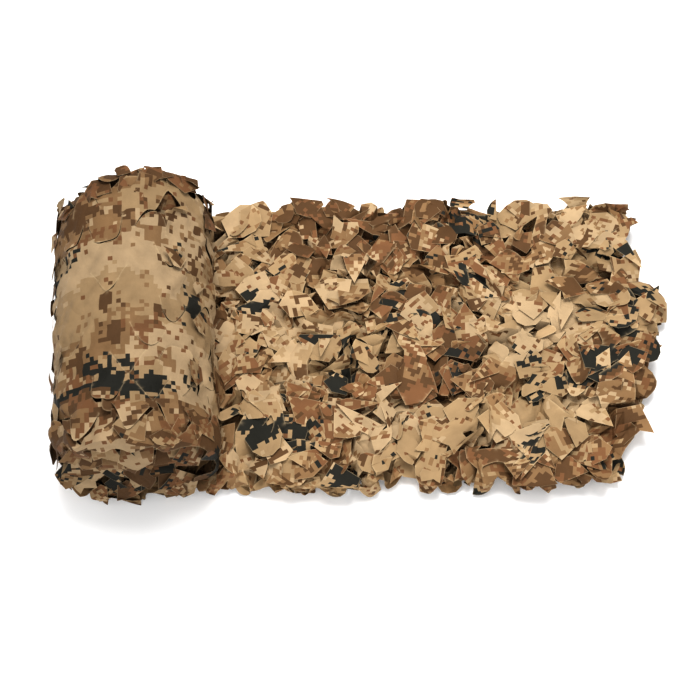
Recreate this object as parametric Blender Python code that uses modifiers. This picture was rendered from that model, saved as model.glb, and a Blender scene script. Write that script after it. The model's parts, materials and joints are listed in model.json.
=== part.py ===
"""Leaf-cut camouflage netting: a long net folded in three, wound on itself, with its loose end laid out flat.

Metres, +Z up. The roll lies at -X with its axis along Y, and the loose end runs from under it towards +X.
Two solids stand for the one cloth: the wound roll, and the loose end that shows. Run this file in Blender.
"""

import math
import random

import bmesh
import bpy
from mathutils import Matrix, Vector
from mathutils.noise import noise

# ---------------------------------------------------------------- driving dimensions
FOLDED_WIDTH = 0.480  # across the net once it is folded in three
CLOTH_THICKNESS = 0.002  # of one layer, with its crinkle
ROLL_WIDTH = 0.240  # across the roll, along X
ROLL_HEIGHT = 0.216  # of the roll, as it sags on its flat spot
ROLL_SINK = 0.009  # how much of the round is pressed flat below
ROLL_YAW = math.radians(3.5)  # the roll lies a little askew to the laid cloth
TURNS = 4  # turns of folded cloth that show at the ends of the roll
LAID_START = 0.066  # from the roll's axis to where the cloth leaves the nip
FULL_LOFT_AT = 0.125  # from the roll's axis to where the layers lie at full loft
LAID_SPACING = 0.0095  # from layer to layer, lying loose
GAP = 0.0003  # between the roll and the cloth that leaves it, in height
LIP_GAP = 0.0007  # the same, along X

# The outline of the loose end, as uneven as it lies. x is from the roll's axis.
SIDE_ROWS = (  # x, near_y, far_y
    (0.066, -0.238, 0.232),
    (0.159, -0.231, 0.243),
    (0.247, -0.226, 0.252),
    (0.305, -0.232, 0.249),
    (0.394, -0.224, 0.246),
    (0.449, -0.230, 0.248),
    (0.498, -0.221, 0.245),
    (0.566, -0.227, 0.231),
    (0.644, -0.222, 0.250),
    (0.720, -0.216, 0.243),
    (0.800, -0.214, 0.238),
)
END_ROWS = (  # y, end_x
    (-0.240, 0.716),
    (-0.203, 0.722),
    (-0.155, 0.752),
    (-0.099, 0.748),
    (-0.024, 0.781),
    (0.036, 0.797),
    (0.079, 0.793),
    (0.106, 0.776),
    (0.178, 0.763),
    (0.250, 0.757),
)
# How far the roll reaches along its axis and how round its shoulders are, by the angle up from +X.
ROLL_END_ROWS = (  # degrees, near_reach, far_reach, shoulder
    (-90, 0.245, 0.236, 0.022),
    (-45, 0.240, 0.232, 0.030),
    (0, 0.230, 0.212, 0.040),
    (45, 0.238, 0.216, 0.034),
    (90, 0.242, 0.212, 0.030),
    (135, 0.236, 0.200, 0.036),
    (180, 0.226, 0.188, 0.042),
    (225, 0.238, 0.214, 0.034),
    (270, 0.245, 0.236, 0.022),
)

# ---------------------------------------------------------------- the leaf cut
LEAF_COLUMNS = 9  # leaves side by side along the loose end
LEAF_ROWS = 10  # rows of leaves across it, each row half a leaf aside
QUADS_ACROSS = 4  # mesh quads from one leaf to the next in a row
QUADS_ALONG = 3  # mesh quads from one row to the next
LEAF_QUADS = 2  # mesh quads across a leaf, and along it
LEAF_BULGE = 0.30  # how much wider than its quads a leaf's waist is, in quads
LEAF_SHOULDER = 0.28  # how far the corners of a leaf's tip draw back, in quads
LEAF_POINT = 0.50  # how far a leaf's tip runs on, in quads
LEAF_NARROWING = 0.06  # a lifted leaf's share of shrinkage, clear of its hole's sides
LIFT_DEGREES = (18.0, 40.0)  # how steeply the leaves stand up
FLAT_LIFT_DEGREES = 12.0  # the same, under the roll's overhang
TIP_DROOP = 0.30  # the share of its lift that a leaf loses by its tip
TURNED_LEAVES = 0.35  # share of the leaves that point away from -Y
FOLD_STEPS = 3  # mesh quads round each fold
FOLD_BULGE = 0.8  # how far a fold stands out, as a share of its layers' spacing
UNDER_QUADS = 4  # mesh quads across each of the two layers below

# ---------------------------------------------------------------- unevenness
LUMP_HEIGHT = 0.0040  # of the top layer's swells
LUMP_LENGTH = 0.085  # from swell to swell
EDGE_FALL = 0.0024  # how much lower the top layer lies along its sides
EDGE_SHARE = 0.125  # share of the width that each side's fall takes up
END_SHARE = 0.083  # share of the length at the free end that its rag takes up
RAG = 0.009  # how far the leaf tips on an edge stand out or back
ROLL_LUMP = 0.0045  # of the roll's surface
ROLL_LUMP_LENGTH = 0.07
SWELL_FROM = -0.6  # sine of the angle up from +X above which the roll's surface swells
ROLL_RAG = 0.007  # of the leaf tips round the roll's ends
RAG_FROM = 0.83  # share of the end face's radius where they start
RIDGE = 0.0065  # how far a turn stands out of the roll's end
DISH = 0.010  # how far the middle of the roll's end lies back
SEED = 11

# ---------------------------------------------------------------- mesh of the roll
ROLL_SIDES = 48
STATIONS = 18  # mesh quads along the straight of the roll
SHOULDER_STEPS = 3
EYE = 0.12  # radius of the roll's middle, as a share of its end face
FLAT_SHARE = 0.97  # share of the full radius from which the lip's foot is on the floor
MERGE = 0.00001

CLOTH_COLOUR = (0.56, 0.43, 0.27, 1.0)
ROLL_COLOUR = (0.50, 0.37, 0.23, 1.0)
CLOTH_ROUGHNESS = 0.62


# ---------------------------------------------------------------- small helpers
def from_rows(rows: tuple, at: float, column: int) -> float:
    """The value of one column of a table at a place in its first column, along straight lines."""
    for low, high in zip(rows, rows[1:]):
        if at <= high[0]:
            share = max(0.0, (at - low[0]) / (high[0] - low[0]))
            return low[column] + share * (high[column] - low[column])
    return rows[-1][column]


def smooth_step(value: float) -> float:
    """0 up to 0, 1 from 1, and a soft rise between."""
    value = min(1.0, max(0.0, value))
    return value * value * (3.0 - 2.0 * value)


def rag_at(index: int, edge: int) -> float:
    """A fixed number from -1 to 1 for each place on an edge, out and back by turns like leaf tips."""
    draw = random.Random(SEED * 1000 + edge * 97 + index).random()
    return (0.35 + 0.65 * draw) * (1.0 if index % 2 else -1.0)


def cloth_material(name: str, colour: tuple) -> bpy.types.Material:
    """A plain woven finish in one colour."""
    material = bpy.data.materials.new(name)
    material.use_nodes = True
    shader = material.node_tree.nodes["Principled BSDF"]
    shader.inputs["Base Color"].default_value = colour
    shader.inputs["Roughness"].default_value = CLOTH_ROUGHNESS
    shader.inputs["Metallic"].default_value = 0.0
    return material


def object_from(bm: bmesh.types.BMesh, name: str, material: bpy.types.Material) -> bpy.types.Object:
    """Turns a finished bmesh into a named object with its material."""
    mesh = bpy.data.meshes.new(name)
    bm.to_mesh(mesh)
    bm.free()
    mesh.materials.append(material)
    return bpy.data.objects.new(name, mesh)


# ---------------------------------------------------------------- the roll's section
ROUND_HALF = (ROLL_HEIGHT + ROLL_SINK) / 2.0  # half the height of the round before it is pressed flat
ROUND_MIDDLE = ROUND_HALF - ROLL_SINK  # height of the roll's axis


def underside(from_axis: float) -> float:
    """Height of the roll's underside at a distance from its axis."""
    share = from_axis / (ROLL_WIDTH / 2.0)
    return ROUND_MIDDLE - ROUND_HALF * math.sqrt(1.0 - share * share)


NIP_SPACING = (underside(LAID_START) - GAP - CLOTH_THICKNESS) / 2.0  # from layer to layer, in the nip


class WoundRoll:
    """The roll: one closed body of its wound form, its ends ridged by a spiral of turns.

    A grid is bent into shape: its columns run round the roll from the lowest line, and its rows from the
    middle of the near end outwards, over the shoulder, along the roll and back in to the far end's middle.
    """

    def __init__(self) -> None:
        """Lists the rows as what they belong to and how far along they are."""
        spiral = range(-2, 2 * TURNS + 1)
        shoulder = [step / SHOULDER_STEPS for step in range(1, SHOULDER_STEPS + 1)]
        self.rows = [("end", -1, ring) for ring in spiral]
        self.rows += [("shoulder", -1, share) for share in shoulder]
        self.rows += [("side", 0, station / STATIONS) for station in range(1, STATIONS)]
        self.rows += [("shoulder", 1, share) for share in reversed(shoulder)]
        self.rows += [("end", 1, ring) for ring in reversed(spiral)]
        lip = math.acos(LAID_START / (ROLL_WIDTH / 2.0))
        self.lip_angle = -lip
        self.lip_side = math.ceil((math.pi / 2.0 - lip) / (2.0 * math.pi) * ROLL_SIDES)

    def angle(self, side: int) -> float:
        """The angle up from +X of a column, which starts at the lowest line and turns by way of +X."""
        if side == self.lip_side:
            return self.lip_angle
        return 2.0 * math.pi * side / ROLL_SIDES - math.pi / 2.0

    def section(self, side: int, share: float) -> tuple[float, float]:
        """(x, z) on the roll's section, at a share of its full radius, with the flat spot and the lip.

        The lip is where the pressed cloth leaves the roll: it is upright, and the loose end starts there.
        """
        angle = self.angle(side)
        x = ROLL_WIDTH / 2.0 * math.cos(angle) * share
        z = ROUND_MIDDLE + ROUND_HALF * math.sin(angle) * share
        if side == self.lip_side - 1:
            x = (LAID_START - LIP_GAP) * share
            z = 0.0 if share > FLAT_SHARE else z
        if side == self.lip_side:
            x -= LIP_GAP * share
        return x, max(0.0, z)

    def reach(self, side: int, end: int) -> float:
        """How far the end's face lies along the axis at this side."""
        degrees = math.degrees(self.angle(side % ROLL_SIDES))
        return from_rows(ROLL_END_ROWS, degrees, 1 if end < 0 else 2)

    def shoulder(self, side: int) -> float:
        """The radius of the rounded shoulder at this side."""
        return from_rows(ROLL_END_ROWS, math.degrees(self.angle(side % ROLL_SIDES)), 3)

    def end_point(self, side: int, end: int, ring: int) -> Vector:
        """A point on an end face: every second ring is a ridge, and each ring winds on into the next but one."""
        pitch = (1.0 - EYE) / TURNS
        out = EYE + (ring / 2.0 + side / ROLL_SIDES) * pitch
        out = min(1.0, max(EYE, out))
        share = (out - EYE) / (1.0 - EYE)
        rise = math.sqrt(max(0.0, math.sin(math.pi * share)))
        ridge = RIDGE * rise * (1.0 if ring % 2 == 0 else -1.0)
        middle = from_rows(ROLL_END_ROWS, 90.0, 1 if end < 0 else 2)
        along = middle + (self.reach(side, end) - middle) * share - DISH * (1.0 - share) + ridge
        along += ROLL_RAG * rag_at(side % ROLL_SIDES, 7 + end) * smooth_step((out - RAG_FROM) / (1.0 - RAG_FROM))
        x, z = self.section(side, out * (1.0 - self.shoulder(side) / ROUND_HALF))
        return Vector((x, end * along, z))

    def shoulder_point(self, side: int, end: int, share: float) -> Vector:
        """A point on the rounded shoulder, share of the way from the end face to the straight side."""
        turn = math.pi / 2.0 * (1.0 - share)
        radius = self.shoulder(side)
        along = self.reach(side, end) - radius * (1.0 - math.sin(turn))
        along += ROLL_RAG * rag_at(side % ROLL_SIDES, 9 + end) * (1.0 - share)
        x, z = self.section(side, 1.0 - radius * (1.0 - math.cos(turn)) / ROUND_HALF)
        return Vector((x, end * along, z))

    def side_point(self, side: int, share: float) -> Vector:
        """A point on the straight side, with the swells of the loosely wound cloth."""
        near = self.reach(side, -1) - self.shoulder(side)
        far = self.reach(side, 1) - self.shoulder(side)
        y = -near + (near + far) * share
        angle = self.angle(side % ROLL_SIDES)
        above = smooth_step((math.sin(angle) - SWELL_FROM) / -SWELL_FROM)
        place = Vector((math.cos(angle) * ROUND_HALF, y, math.sin(angle) * ROUND_HALF))
        swell = ROLL_LUMP * noise(place / ROLL_LUMP_LENGTH) * above
        x, z = self.section(side, 1.0 + swell / ROUND_HALF)
        return Vector((x, y, z))

    def place(self, side: int, row: int) -> Vector:
        """The point of a grid column and row."""
        kind, end, at = self.rows[row]
        if kind == "end":
            return self.end_point(side, end, at)
        if kind == "shoulder":
            return self.shoulder_point(side, end, at)
        return self.side_point(side, at)

    def mesh(self) -> bmesh.types.BMesh:
        """The closed body: the bent grid, sewn along its seam, with both eyes filled."""
        bm = bmesh.new()
        rings = len(self.rows) - 1
        bmesh.ops.create_grid(bm, x_segments=ROLL_SIDES, y_segments=rings, size=0.5)
        for vert in bm.verts:
            side = round((vert.co.x + 0.5) * ROLL_SIDES)
            row = round((vert.co.y + 0.5) * rings)
            vert.co = self.place(side, row)
        bmesh.ops.remove_doubles(bm, verts=bm.verts, dist=MERGE)
        bmesh.ops.holes_fill(bm, edges=[edge for edge in bm.edges if edge.is_boundary])
        bmesh.ops.recalc_face_normals(bm, faces=bm.faces)
        return bm


def make_roll() -> bpy.types.Object:
    """The wound roll as one solid, turned a little askew."""
    roll = object_from(WoundRoll().mesh(), "wound_roll", cloth_material("wound_cloth", ROLL_COLOUR))
    roll.rotation_euler.z = ROLL_YAW
    return roll


# ---------------------------------------------------------------- the loose end
class LaidNet:
    """The loose end: one cloth in three layers, back and forth, with leaves cut and lifted in its top layer.

    A grid is folded into shape. Its columns run along X. Its rows run across the top layer from the far
    edge to the near fold, back across the middle layer to the far fold, and on to the free near edge.
    """

    def __init__(self) -> None:
        """Works out the grid's size and draws each leaf's way and lift."""
        self.columns = LEAF_COLUMNS * QUADS_ACROSS
        self.near_fold = 1 + LEAF_ROWS * QUADS_ALONG
        self.middle_start = self.near_fold + FOLD_STEPS
        self.far_fold = self.middle_start + UNDER_QUADS
        self.bottom_start = self.far_fold + FOLD_STEPS
        self.rows = self.bottom_start + UNDER_QUADS
        self.leaves = self.draw_leaves()

    def draw_leaves(self) -> list:
        """Each leaf as its first column, first row, way (+1 towards -Y) and lift in radians."""
        draws = random.Random(SEED)
        leaves = []
        for row in range(LEAF_ROWS):
            odd = row % 2
            for place in range(LEAF_COLUMNS - odd):
                column = 1 + odd * QUADS_ACROSS // 2 + place * QUADS_ACROSS
                way = -1 if draws.random() < TURNED_LEAVES else 1
                lift = math.radians(draws.uniform(*LIFT_DEGREES))
                if self.from_axis(column / self.columns, 0.0) < FULL_LOFT_AT:
                    lift = math.radians(FLAT_LIFT_DEGREES)
                leaves.append((column, 1 + row * QUADS_ALONG, way, lift))
        return leaves

    @staticmethod
    def from_axis(along: float, y: float) -> float:
        """How far from the roll's axis a place is that lies this share of the way to the loose end."""
        return LAID_START + (from_rows(END_ROWS, y, 1) - LAID_START) * along

    def plan(self, column: float, across: float, rag: float) -> tuple[float, float]:
        """(x, y) of a place in the outline.

        Args:
            column: the grid column.
            across: 0 at the near side, 1 at the far side.
            rag: how far the free end stands out at this row.
        """
        along = column / self.columns
        x = self.from_axis(along, (across - 0.5) * FOLDED_WIDTH)
        x += rag * smooth_step(1.0 - (1.0 - along) / END_SHARE)
        near, far = from_rows(SIDE_ROWS, x, 1), from_rows(SIDE_ROWS, x, 2)
        y = near + (far - near) * across
        return x - y * math.tan(ROLL_YAW) * (1.0 - along), y

    @staticmethod
    def loft_share(x: float, y: float) -> float:
        """0 where the layers are pressed in the nip, 1 where they lie at full loft."""
        from_axis = x + y * math.tan(ROLL_YAW)
        return smooth_step((from_axis - LAID_START) / (FULL_LOFT_AT - LAID_START))

    def place(self, column: int, row: int) -> Vector:
        """The middle of the cloth at a grid point, with no leaf lifted."""
        if row <= self.near_fold:
            return self.top_place(column, row)
        if row < self.middle_start:
            return self.fold_place(column, self.near_fold, row, -1.0)
        if row <= self.far_fold:
            across = (row - self.middle_start) / UNDER_QUADS
            return self.under_place(column, row, across, layer=1)
        if row < self.bottom_start:
            return self.fold_place(column, self.far_fold, row, 1.0)
        across = 1.0 - (row - self.bottom_start) / UNDER_QUADS
        return self.under_place(column, row, across, layer=0)

    def top_place(self, column: int, row: int) -> Vector:
        """A point of the top layer, which swells and falls."""
        across = 1.0 - row / self.near_fold
        x, y = self.plan(column, across, RAG * rag_at(row, 1))
        if row in (0, self.near_fold):
            y += RAG * rag_at(column, 2 if row == 0 else 3)
        full = self.loft_share(x, y)
        spacing = NIP_SPACING + (LAID_SPACING - NIP_SPACING) * full
        swell = LUMP_HEIGHT * (1.0 + noise(Vector((x, y, 0.0)) / LUMP_LENGTH))
        fall = EDGE_FALL * smooth_step(1.0 - min(across, 1.0 - across) / EDGE_SHARE)
        return Vector((x, y, CLOTH_THICKNESS / 2.0 + 2.0 * spacing + (swell - fall) * full))

    def under_place(self, column: int, row: int, across: float, layer: int) -> Vector:
        """A point of one of the two plain layers below: 1 is the middle layer, 0 lies on the floor."""
        x, y = self.plan(column, across, RAG * rag_at(row, 4 + layer))
        if row == self.middle_start:
            y += RAG * rag_at(column, 3)
        if row == self.rows:
            y += RAG * rag_at(column, 6)
        spacing = NIP_SPACING + (LAID_SPACING - NIP_SPACING) * self.loft_share(x, y)
        return Vector((x, y, CLOTH_THICKNESS / 2.0 + layer * spacing))

    def fold_place(self, column: int, upper_row: int, row: int, way: float) -> Vector:
        """A point round a fold, which bulges towards way along Y."""
        upper = self.place(column, upper_row)
        lower = self.place(column, upper_row + FOLD_STEPS)
        turn = math.pi * (row - upper_row) / FOLD_STEPS
        point = upper.lerp(lower, (1.0 - math.cos(turn)) / 2.0)
        point.y += way * math.sin(turn) * (upper.z - lower.z) * FOLD_BULGE
        return point

    def cut_place(self, column: int, row: int) -> Vector:
        """A grid point drawn along the cloth to where a leaf's cut runs, if one runs by it."""
        to_column, to_row = float(column), float(row)
        for first_column, first_row, way, _ in self.leaves:
            side = column - first_column - LEAF_QUADS // 2
            along = row - first_row if way > 0 else first_row + LEAF_QUADS - row
            if abs(side) > LEAF_QUADS // 2 or not 0 < along <= LEAF_QUADS:
                continue
            if along < LEAF_QUADS:
                to_column += side * LEAF_BULGE
            elif side:
                to_column -= side * LEAF_SHOULDER
                to_row -= way * LEAF_SHOULDER
            else:
                to_row += way * LEAF_POINT
        at = self.place(column, row)
        beside = self.place(column + (1 if to_column > column else -1), row)
        beyond = self.place(column, max(0, row + (1 if to_row > row else -1)))
        return at + (beside - at) * abs(to_column - column) + (beyond - at) * abs(to_row - row)

    def mesh(self) -> bmesh.types.BMesh:
        """The cloth as an open surface: a grid, folded, cut round the leaves, with the leaves turned up."""
        bm = bmesh.new()
        bmesh.ops.create_grid(bm, x_segments=self.columns, y_segments=self.rows, size=0.5)
        column_of = bm.verts.layers.int.new("column")
        row_of = bm.verts.layers.int.new("row")
        leaf_of = bm.faces.layers.int.new("leaf")
        for vert in bm.verts:
            vert[column_of] = round((vert.co.x + 0.5) * self.columns)
            vert[row_of] = round((vert.co.y + 0.5) * self.rows)
        for face in bm.faces:
            column = min(vert[column_of] for vert in face.verts)
            row = min(vert[row_of] for vert in face.verts)
            face[leaf_of] = self.leaf_at(column, row)
        for vert in bm.verts:
            vert.co = self.cut_place(vert[column_of], vert[row_of])
        roots = self.root_lines(bm, column_of, row_of)
        bmesh.ops.split_edges(bm, edges=self.cuts(bm, row_of, leaf_of))
        for vert in bm.verts:
            leaves = {face[leaf_of] for face in vert.link_faces}
            leaf = leaves.pop()
            if leaf and not leaves:
                self.lift(vert, *roots[leaf - 1], self.leaves[leaf - 1])
        return bm

    def leaf_at(self, column: int, row: int) -> int:
        """The number of the leaf, from 1, that a quad belongs to, or 0."""
        for number, (first_column, first_row, _, _) in enumerate(self.leaves, start=1):
            if 0 <= column - first_column < LEAF_QUADS and 0 <= row - first_row < LEAF_QUADS:
                return number
        return 0

    def root_row(self, leaf: tuple) -> int:
        """The grid row that a leaf hangs on by."""
        return leaf[1] if leaf[2] > 0 else leaf[1] + LEAF_QUADS

    def root_lines(self, bm: bmesh.types.BMesh, column_of, row_of) -> list:
        """The two ends of each leaf's root."""
        grid = {(vert[column_of], vert[row_of]): vert.co.copy() for vert in bm.verts}
        return [
            (grid[leaf[0], self.root_row(leaf)], grid[leaf[0] + LEAF_QUADS, self.root_row(leaf)])
            for leaf in self.leaves
        ]

    def cuts(self, bm: bmesh.types.BMesh, row_of, leaf_of) -> list:
        """The edges to cut: all round each leaf but for its root."""
        found = []
        for edge in bm.edges:
            leaf = max(face[leaf_of] for face in edge.link_faces)
            if leaf and min(face[leaf_of] for face in edge.link_faces) != leaf:
                root = self.root_row(self.leaves[leaf - 1])
                if not all(vert[row_of] == root for vert in edge.verts):
                    found.append(edge)
        return found

    def lift(self, vert: bmesh.types.BMVert, left: Vector, right: Vector, leaf: tuple) -> None:
        """Turns one point of a leaf up about the leaf's root, less steeply towards the tip."""
        hinge = (right - left).normalized()
        foot = left + hinge * (vert.co - left).dot(hinge)
        arm = vert.co - foot
        droop = 1.0 - TIP_DROOP * arm.length / (left - right).length
        raised = Matrix.Rotation(-leaf[2] * leaf[3] * droop, 3, hinge) @ arm
        middle = (left + right) / 2.0
        vert.co = foot + (middle - foot) * LEAF_NARROWING + raised


def make_laid_net() -> bpy.types.Object:
    """The loose end as one solid of three cloth layers."""
    laid = object_from(LaidNet().mesh(), "laid_net", cloth_material("leaf_cloth", CLOTH_COLOUR))
    cloth = laid.modifiers.new("cloth", "SOLIDIFY")
    cloth.thickness = CLOTH_THICKNESS
    cloth.offset = 0.0
    cloth.use_even_offset = False
    return laid


# ---------------------------------------------------------------- the whole
def set_origin(parts: list, holder: bpy.types.Object) -> None:
    """Moves the holder so that the origin is on the floor under the middle of the whole."""
    bpy.context.view_layer.update()
    graph = bpy.context.evaluated_depsgraph_get()
    corners = []
    for part in parts:
        mesh = part.evaluated_get(graph).to_mesh()
        corners += [part.matrix_world @ vert.co for vert in mesh.vertices]
        part.evaluated_get(graph).to_mesh_clear()
    for axis in (0, 1):
        values = [corner[axis] for corner in corners]
        holder.location[axis] = -(min(values) + max(values)) / 2.0


def main() -> None:
    """Builds both solids and sets the origin."""
    for obj in list(bpy.data.objects):
        bpy.data.objects.remove(obj, do_unlink=True)
    collection = bpy.data.collections.new("camouflage_netting")
    bpy.context.scene.collection.children.link(collection)
    holder = bpy.data.objects.new("netting", None)
    collection.objects.link(holder)
    parts = [make_roll(), make_laid_net()]
    for part in parts:
        collection.objects.link(part)
        part.parent = holder
    set_origin(parts, holder)


main()
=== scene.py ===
"""Dresses the leaf-cut camouflage netting: its loose end, folded in three, and the roll that it comes from.

Each sheet starts as a flat pattern of printed cloth with leaf-shaped slits. It is laid on its bed, which is
a fold or a winding, and a short cloth simulation crowds and settles it, so that its leaves lift and overlap.
Leaves that have come right out of their slits are set out over both sheets by Geometry Nodes.
Metres, in the frame of the solids: the roll lies at -X with its axis along Y, and the floor is at Z 0.
"""

from __future__ import annotations

import json
import logging
import math
import random
from dataclasses import dataclass, field, replace
from enum import Enum
from typing import Protocol

import bmesh
import bpy
import numpy as np
from bpy.types import Material, Mesh, NodeSocket, Object
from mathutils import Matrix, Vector
from mathutils.geometry import delaunay_2d_cdt
from mathutils.kdtree import KDTree
from mathutils.noise import noise

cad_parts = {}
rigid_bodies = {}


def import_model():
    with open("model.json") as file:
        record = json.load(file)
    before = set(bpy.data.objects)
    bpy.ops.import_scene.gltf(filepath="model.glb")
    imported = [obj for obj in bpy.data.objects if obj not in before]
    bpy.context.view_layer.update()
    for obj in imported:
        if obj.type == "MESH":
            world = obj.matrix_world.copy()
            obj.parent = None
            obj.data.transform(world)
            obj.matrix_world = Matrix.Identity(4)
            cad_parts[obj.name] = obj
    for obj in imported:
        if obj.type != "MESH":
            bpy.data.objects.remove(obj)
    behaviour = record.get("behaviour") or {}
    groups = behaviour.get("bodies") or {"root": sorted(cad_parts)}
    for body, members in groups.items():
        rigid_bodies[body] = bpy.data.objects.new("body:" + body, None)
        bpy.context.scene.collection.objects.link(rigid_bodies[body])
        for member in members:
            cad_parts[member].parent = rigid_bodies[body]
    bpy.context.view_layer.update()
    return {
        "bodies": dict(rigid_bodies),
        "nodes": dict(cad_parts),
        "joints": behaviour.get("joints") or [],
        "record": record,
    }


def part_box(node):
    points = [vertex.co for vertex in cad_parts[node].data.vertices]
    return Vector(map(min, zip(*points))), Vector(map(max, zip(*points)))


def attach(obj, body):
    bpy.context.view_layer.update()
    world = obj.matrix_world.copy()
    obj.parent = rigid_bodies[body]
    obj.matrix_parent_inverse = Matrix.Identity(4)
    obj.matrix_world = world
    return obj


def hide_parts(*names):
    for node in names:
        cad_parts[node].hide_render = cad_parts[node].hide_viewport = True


LOG = logging.getLogger("netting")
Array = np.ndarray
Pair = tuple[float, float]
Triple = tuple[float, float, float]

# ---------------- the solids' own sizes, repeated
ROLL_WIDTH = 0.24  # across the roll, along X
ROLL_HEIGHT = 0.216  # of the roll as it sags on its flat spot
ROLL_SINK = 0.009  # how much of the round is pressed flat below
ROLL_YAW = math.radians(3.5)  # of the roll's axis, from Y
LAID_START = 0.066  # from the roll's axis to where the cloth leaves the nip
FULL_LOFT_AT = 0.125  # from the roll's axis to where the layers lie at full loft
LAID_SPACING = 0.0095  # from layer to layer
NIP_SPACING = 0.0036  # the same, in the nip
FIRST_HEIGHT = 0.0016  # of the lowest layer's middle
# the loose end's sides, near and far, at stations SIDE_X from the roll's axis
SIDE_X = (0.066, 0.159, 0.247, 0.305, 0.394, 0.449, 0.498, 0.566, 0.644, 0.72, 0.8)
NEAR_Y = (-0.238, -0.231, -0.226, -0.232, -0.224, -0.23, -0.221, -0.227, -0.222, -0.216, -0.214)
FAR_Y = (0.232, 0.243, 0.252, 0.249, 0.246, 0.248, 0.245, 0.231, 0.25, 0.243, 0.238)
# the loose end's free end, END_X from the roll's axis at stations END_Y across
END_Y = (-0.24, -0.203, -0.155, -0.099, -0.024, 0.036, 0.079, 0.106, 0.178, 0.25)
END_X = (0.716, 0.722, 0.752, 0.748, 0.781, 0.797, 0.793, 0.776, 0.763, 0.757)
# how far the roll's ends reach from its middle, and its shoulders' radius, at ROLL_DEGREES up from +X
ROLL_DEGREES = (-90.0, -45.0, 0.0, 45.0, 90.0, 135.0, 180.0, 225.0, 270.0)
NEAR_REACH = (0.245, 0.24, 0.23, 0.238, 0.242, 0.236, 0.226, 0.238, 0.245)
FAR_REACH = (0.236, 0.232, 0.212, 0.216, 0.212, 0.2, 0.188, 0.214, 0.236)
SHOULDER = (0.022, 0.03, 0.04, 0.034, 0.03, 0.036, 0.042, 0.034, 0.022)

# ---------------- the leaf cut, as the cloth is cut flat
LEAF_PITCH = 0.074  # from leaf to leaf in a row
ROW_PITCH = 0.049  # from row to row
LEAF_HALF_WIDTH = 0.0315
LEAF_HEIGHT = 0.048
ARCH_SEAT = 0.4  # share of a leaf's height that lies behind its lattice point
SLIT_GAP = 0.0032  # least cloth left between two slits
TIP_POINT = 4  # number of a slit's middle point
HINGE_DEPTH = 0.002  # cloth nearer its hinge than this stays down
PROBE = 0.0005  # step for finding a bed's slopes
FLOOR_GAP = 0.0006  # height of the cloth's lowest points
LATTICE_ROW = 0.87  # from row to row of a triangular lattice, over its points' distance


# ---------------- small helpers
def soft_step(value: Array | float, start: float, run: float) -> Array | float:
    """Rises softly from 0 to 1.

    Args:
        value: what it depends on.
        start: the value at which the rise starts.
        run: how much further on it ends.

    Returns:
        The height of the rise at the value.
    """
    value = np.clip((value - start) / run, 0.0, 1.0)
    return value * value * (3.0 - 2.0 * value)


def eased(value: Array, knee: Array | float, room: float) -> Array:
    """Leaves values up to the knee, and eases the rest so that they stay within the room above it.

    Args:
        value: what is eased.
        knee: where the easing starts.
        room: how far past the knee the largest value may come.

    Returns:
        The eased values.
    """
    over = np.maximum(0.0, value - knee)
    return np.minimum(value, knee) + room * over / (room + over)


def inside(loop: Array, points: Array) -> Array:
    """Tests which points lie inside a closed loop.

    Args:
        loop: (n, 2) corners in order.
        points: (m, 2) points.

    Returns:
        (m,) booleans.
    """
    found = np.zeros(len(points), bool)
    x, y = points[:, 0], points[:, 1]
    for (x0, y0), (x1, y1) in zip(loop, np.roll(loop, 1, axis=0)):
        crosses = (y0 > y) != (y1 > y)
        rise = y1 - y0 if y1 != y0 else 1e-12
        found ^= crosses & (x < (x1 - x0) * (y - y0) / rise + x0)
    return found


def coordinates(mesh: Mesh) -> Array:
    """Reads a mesh's points.

    Args:
        mesh: the mesh.

    Returns:
        (n, 3) places.
    """
    values = np.empty(len(mesh.vertices) * 3)
    mesh.vertices.foreach_get("co", values)
    return values.reshape(-1, 3)


def move(mesh: Mesh, places: Array) -> None:
    """Gives a mesh's points new places."""
    mesh.vertices.foreach_set("co", places.reshape(-1))


def meshed(bm: bmesh.types.BMesh, name: str) -> Mesh:
    """Turns a working mesh into a real one.

    Args:
        bm: the working mesh, which is freed.
        name: the new mesh's name.

    Returns:
        The new mesh.
    """
    mesh = bpy.data.meshes.new(name)
    bm.to_mesh(mesh)
    bm.free()
    return mesh


def joined(name: str, drafts: list[Object], material: Material) -> Object:
    """One object from several, which are removed.

    Args:
        name: the new object's name.
        drafts: objects at the origin.
        material: the new object's one material.

    Returns:
        The new object.
    """
    bm = bmesh.new()
    for draft in drafts:
        bm.from_mesh(draft.data)
    mesh = meshed(bm, name)
    mesh.materials.append(material)
    mesh.polygons.foreach_set("material_index", np.zeros(len(mesh.polygons), int))
    for draft in drafts:
        bpy.data.objects.remove(draft)
    return link(name, mesh)


def link(name: str, data: bpy.types.ID) -> Object:
    """Puts a mesh, a light or a camera in the scene.

    Args:
        name: the object's name.
        data: its mesh, light or camera.

    Returns:
        The object, at the origin.
    """
    obj = bpy.data.objects.new(name, data)
    bpy.context.scene.collection.objects.link(obj)
    return obj


def plane(name: str, size: float) -> Object:
    """Lays a square plane on the floor.

    Args:
        name: its name.
        size: half its side.

    Returns:
        The plane, at the origin.
    """
    bm = bmesh.new()
    bmesh.ops.create_grid(bm, x_segments=1, y_segments=1, size=size)
    return link(name, meshed(bm, name))


# ---------------- flat patterns
class Tip(Enum):
    """The way that a leaf's tip points along v on the flat cloth."""

    ONWARD = 1
    BACK = -1


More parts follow.
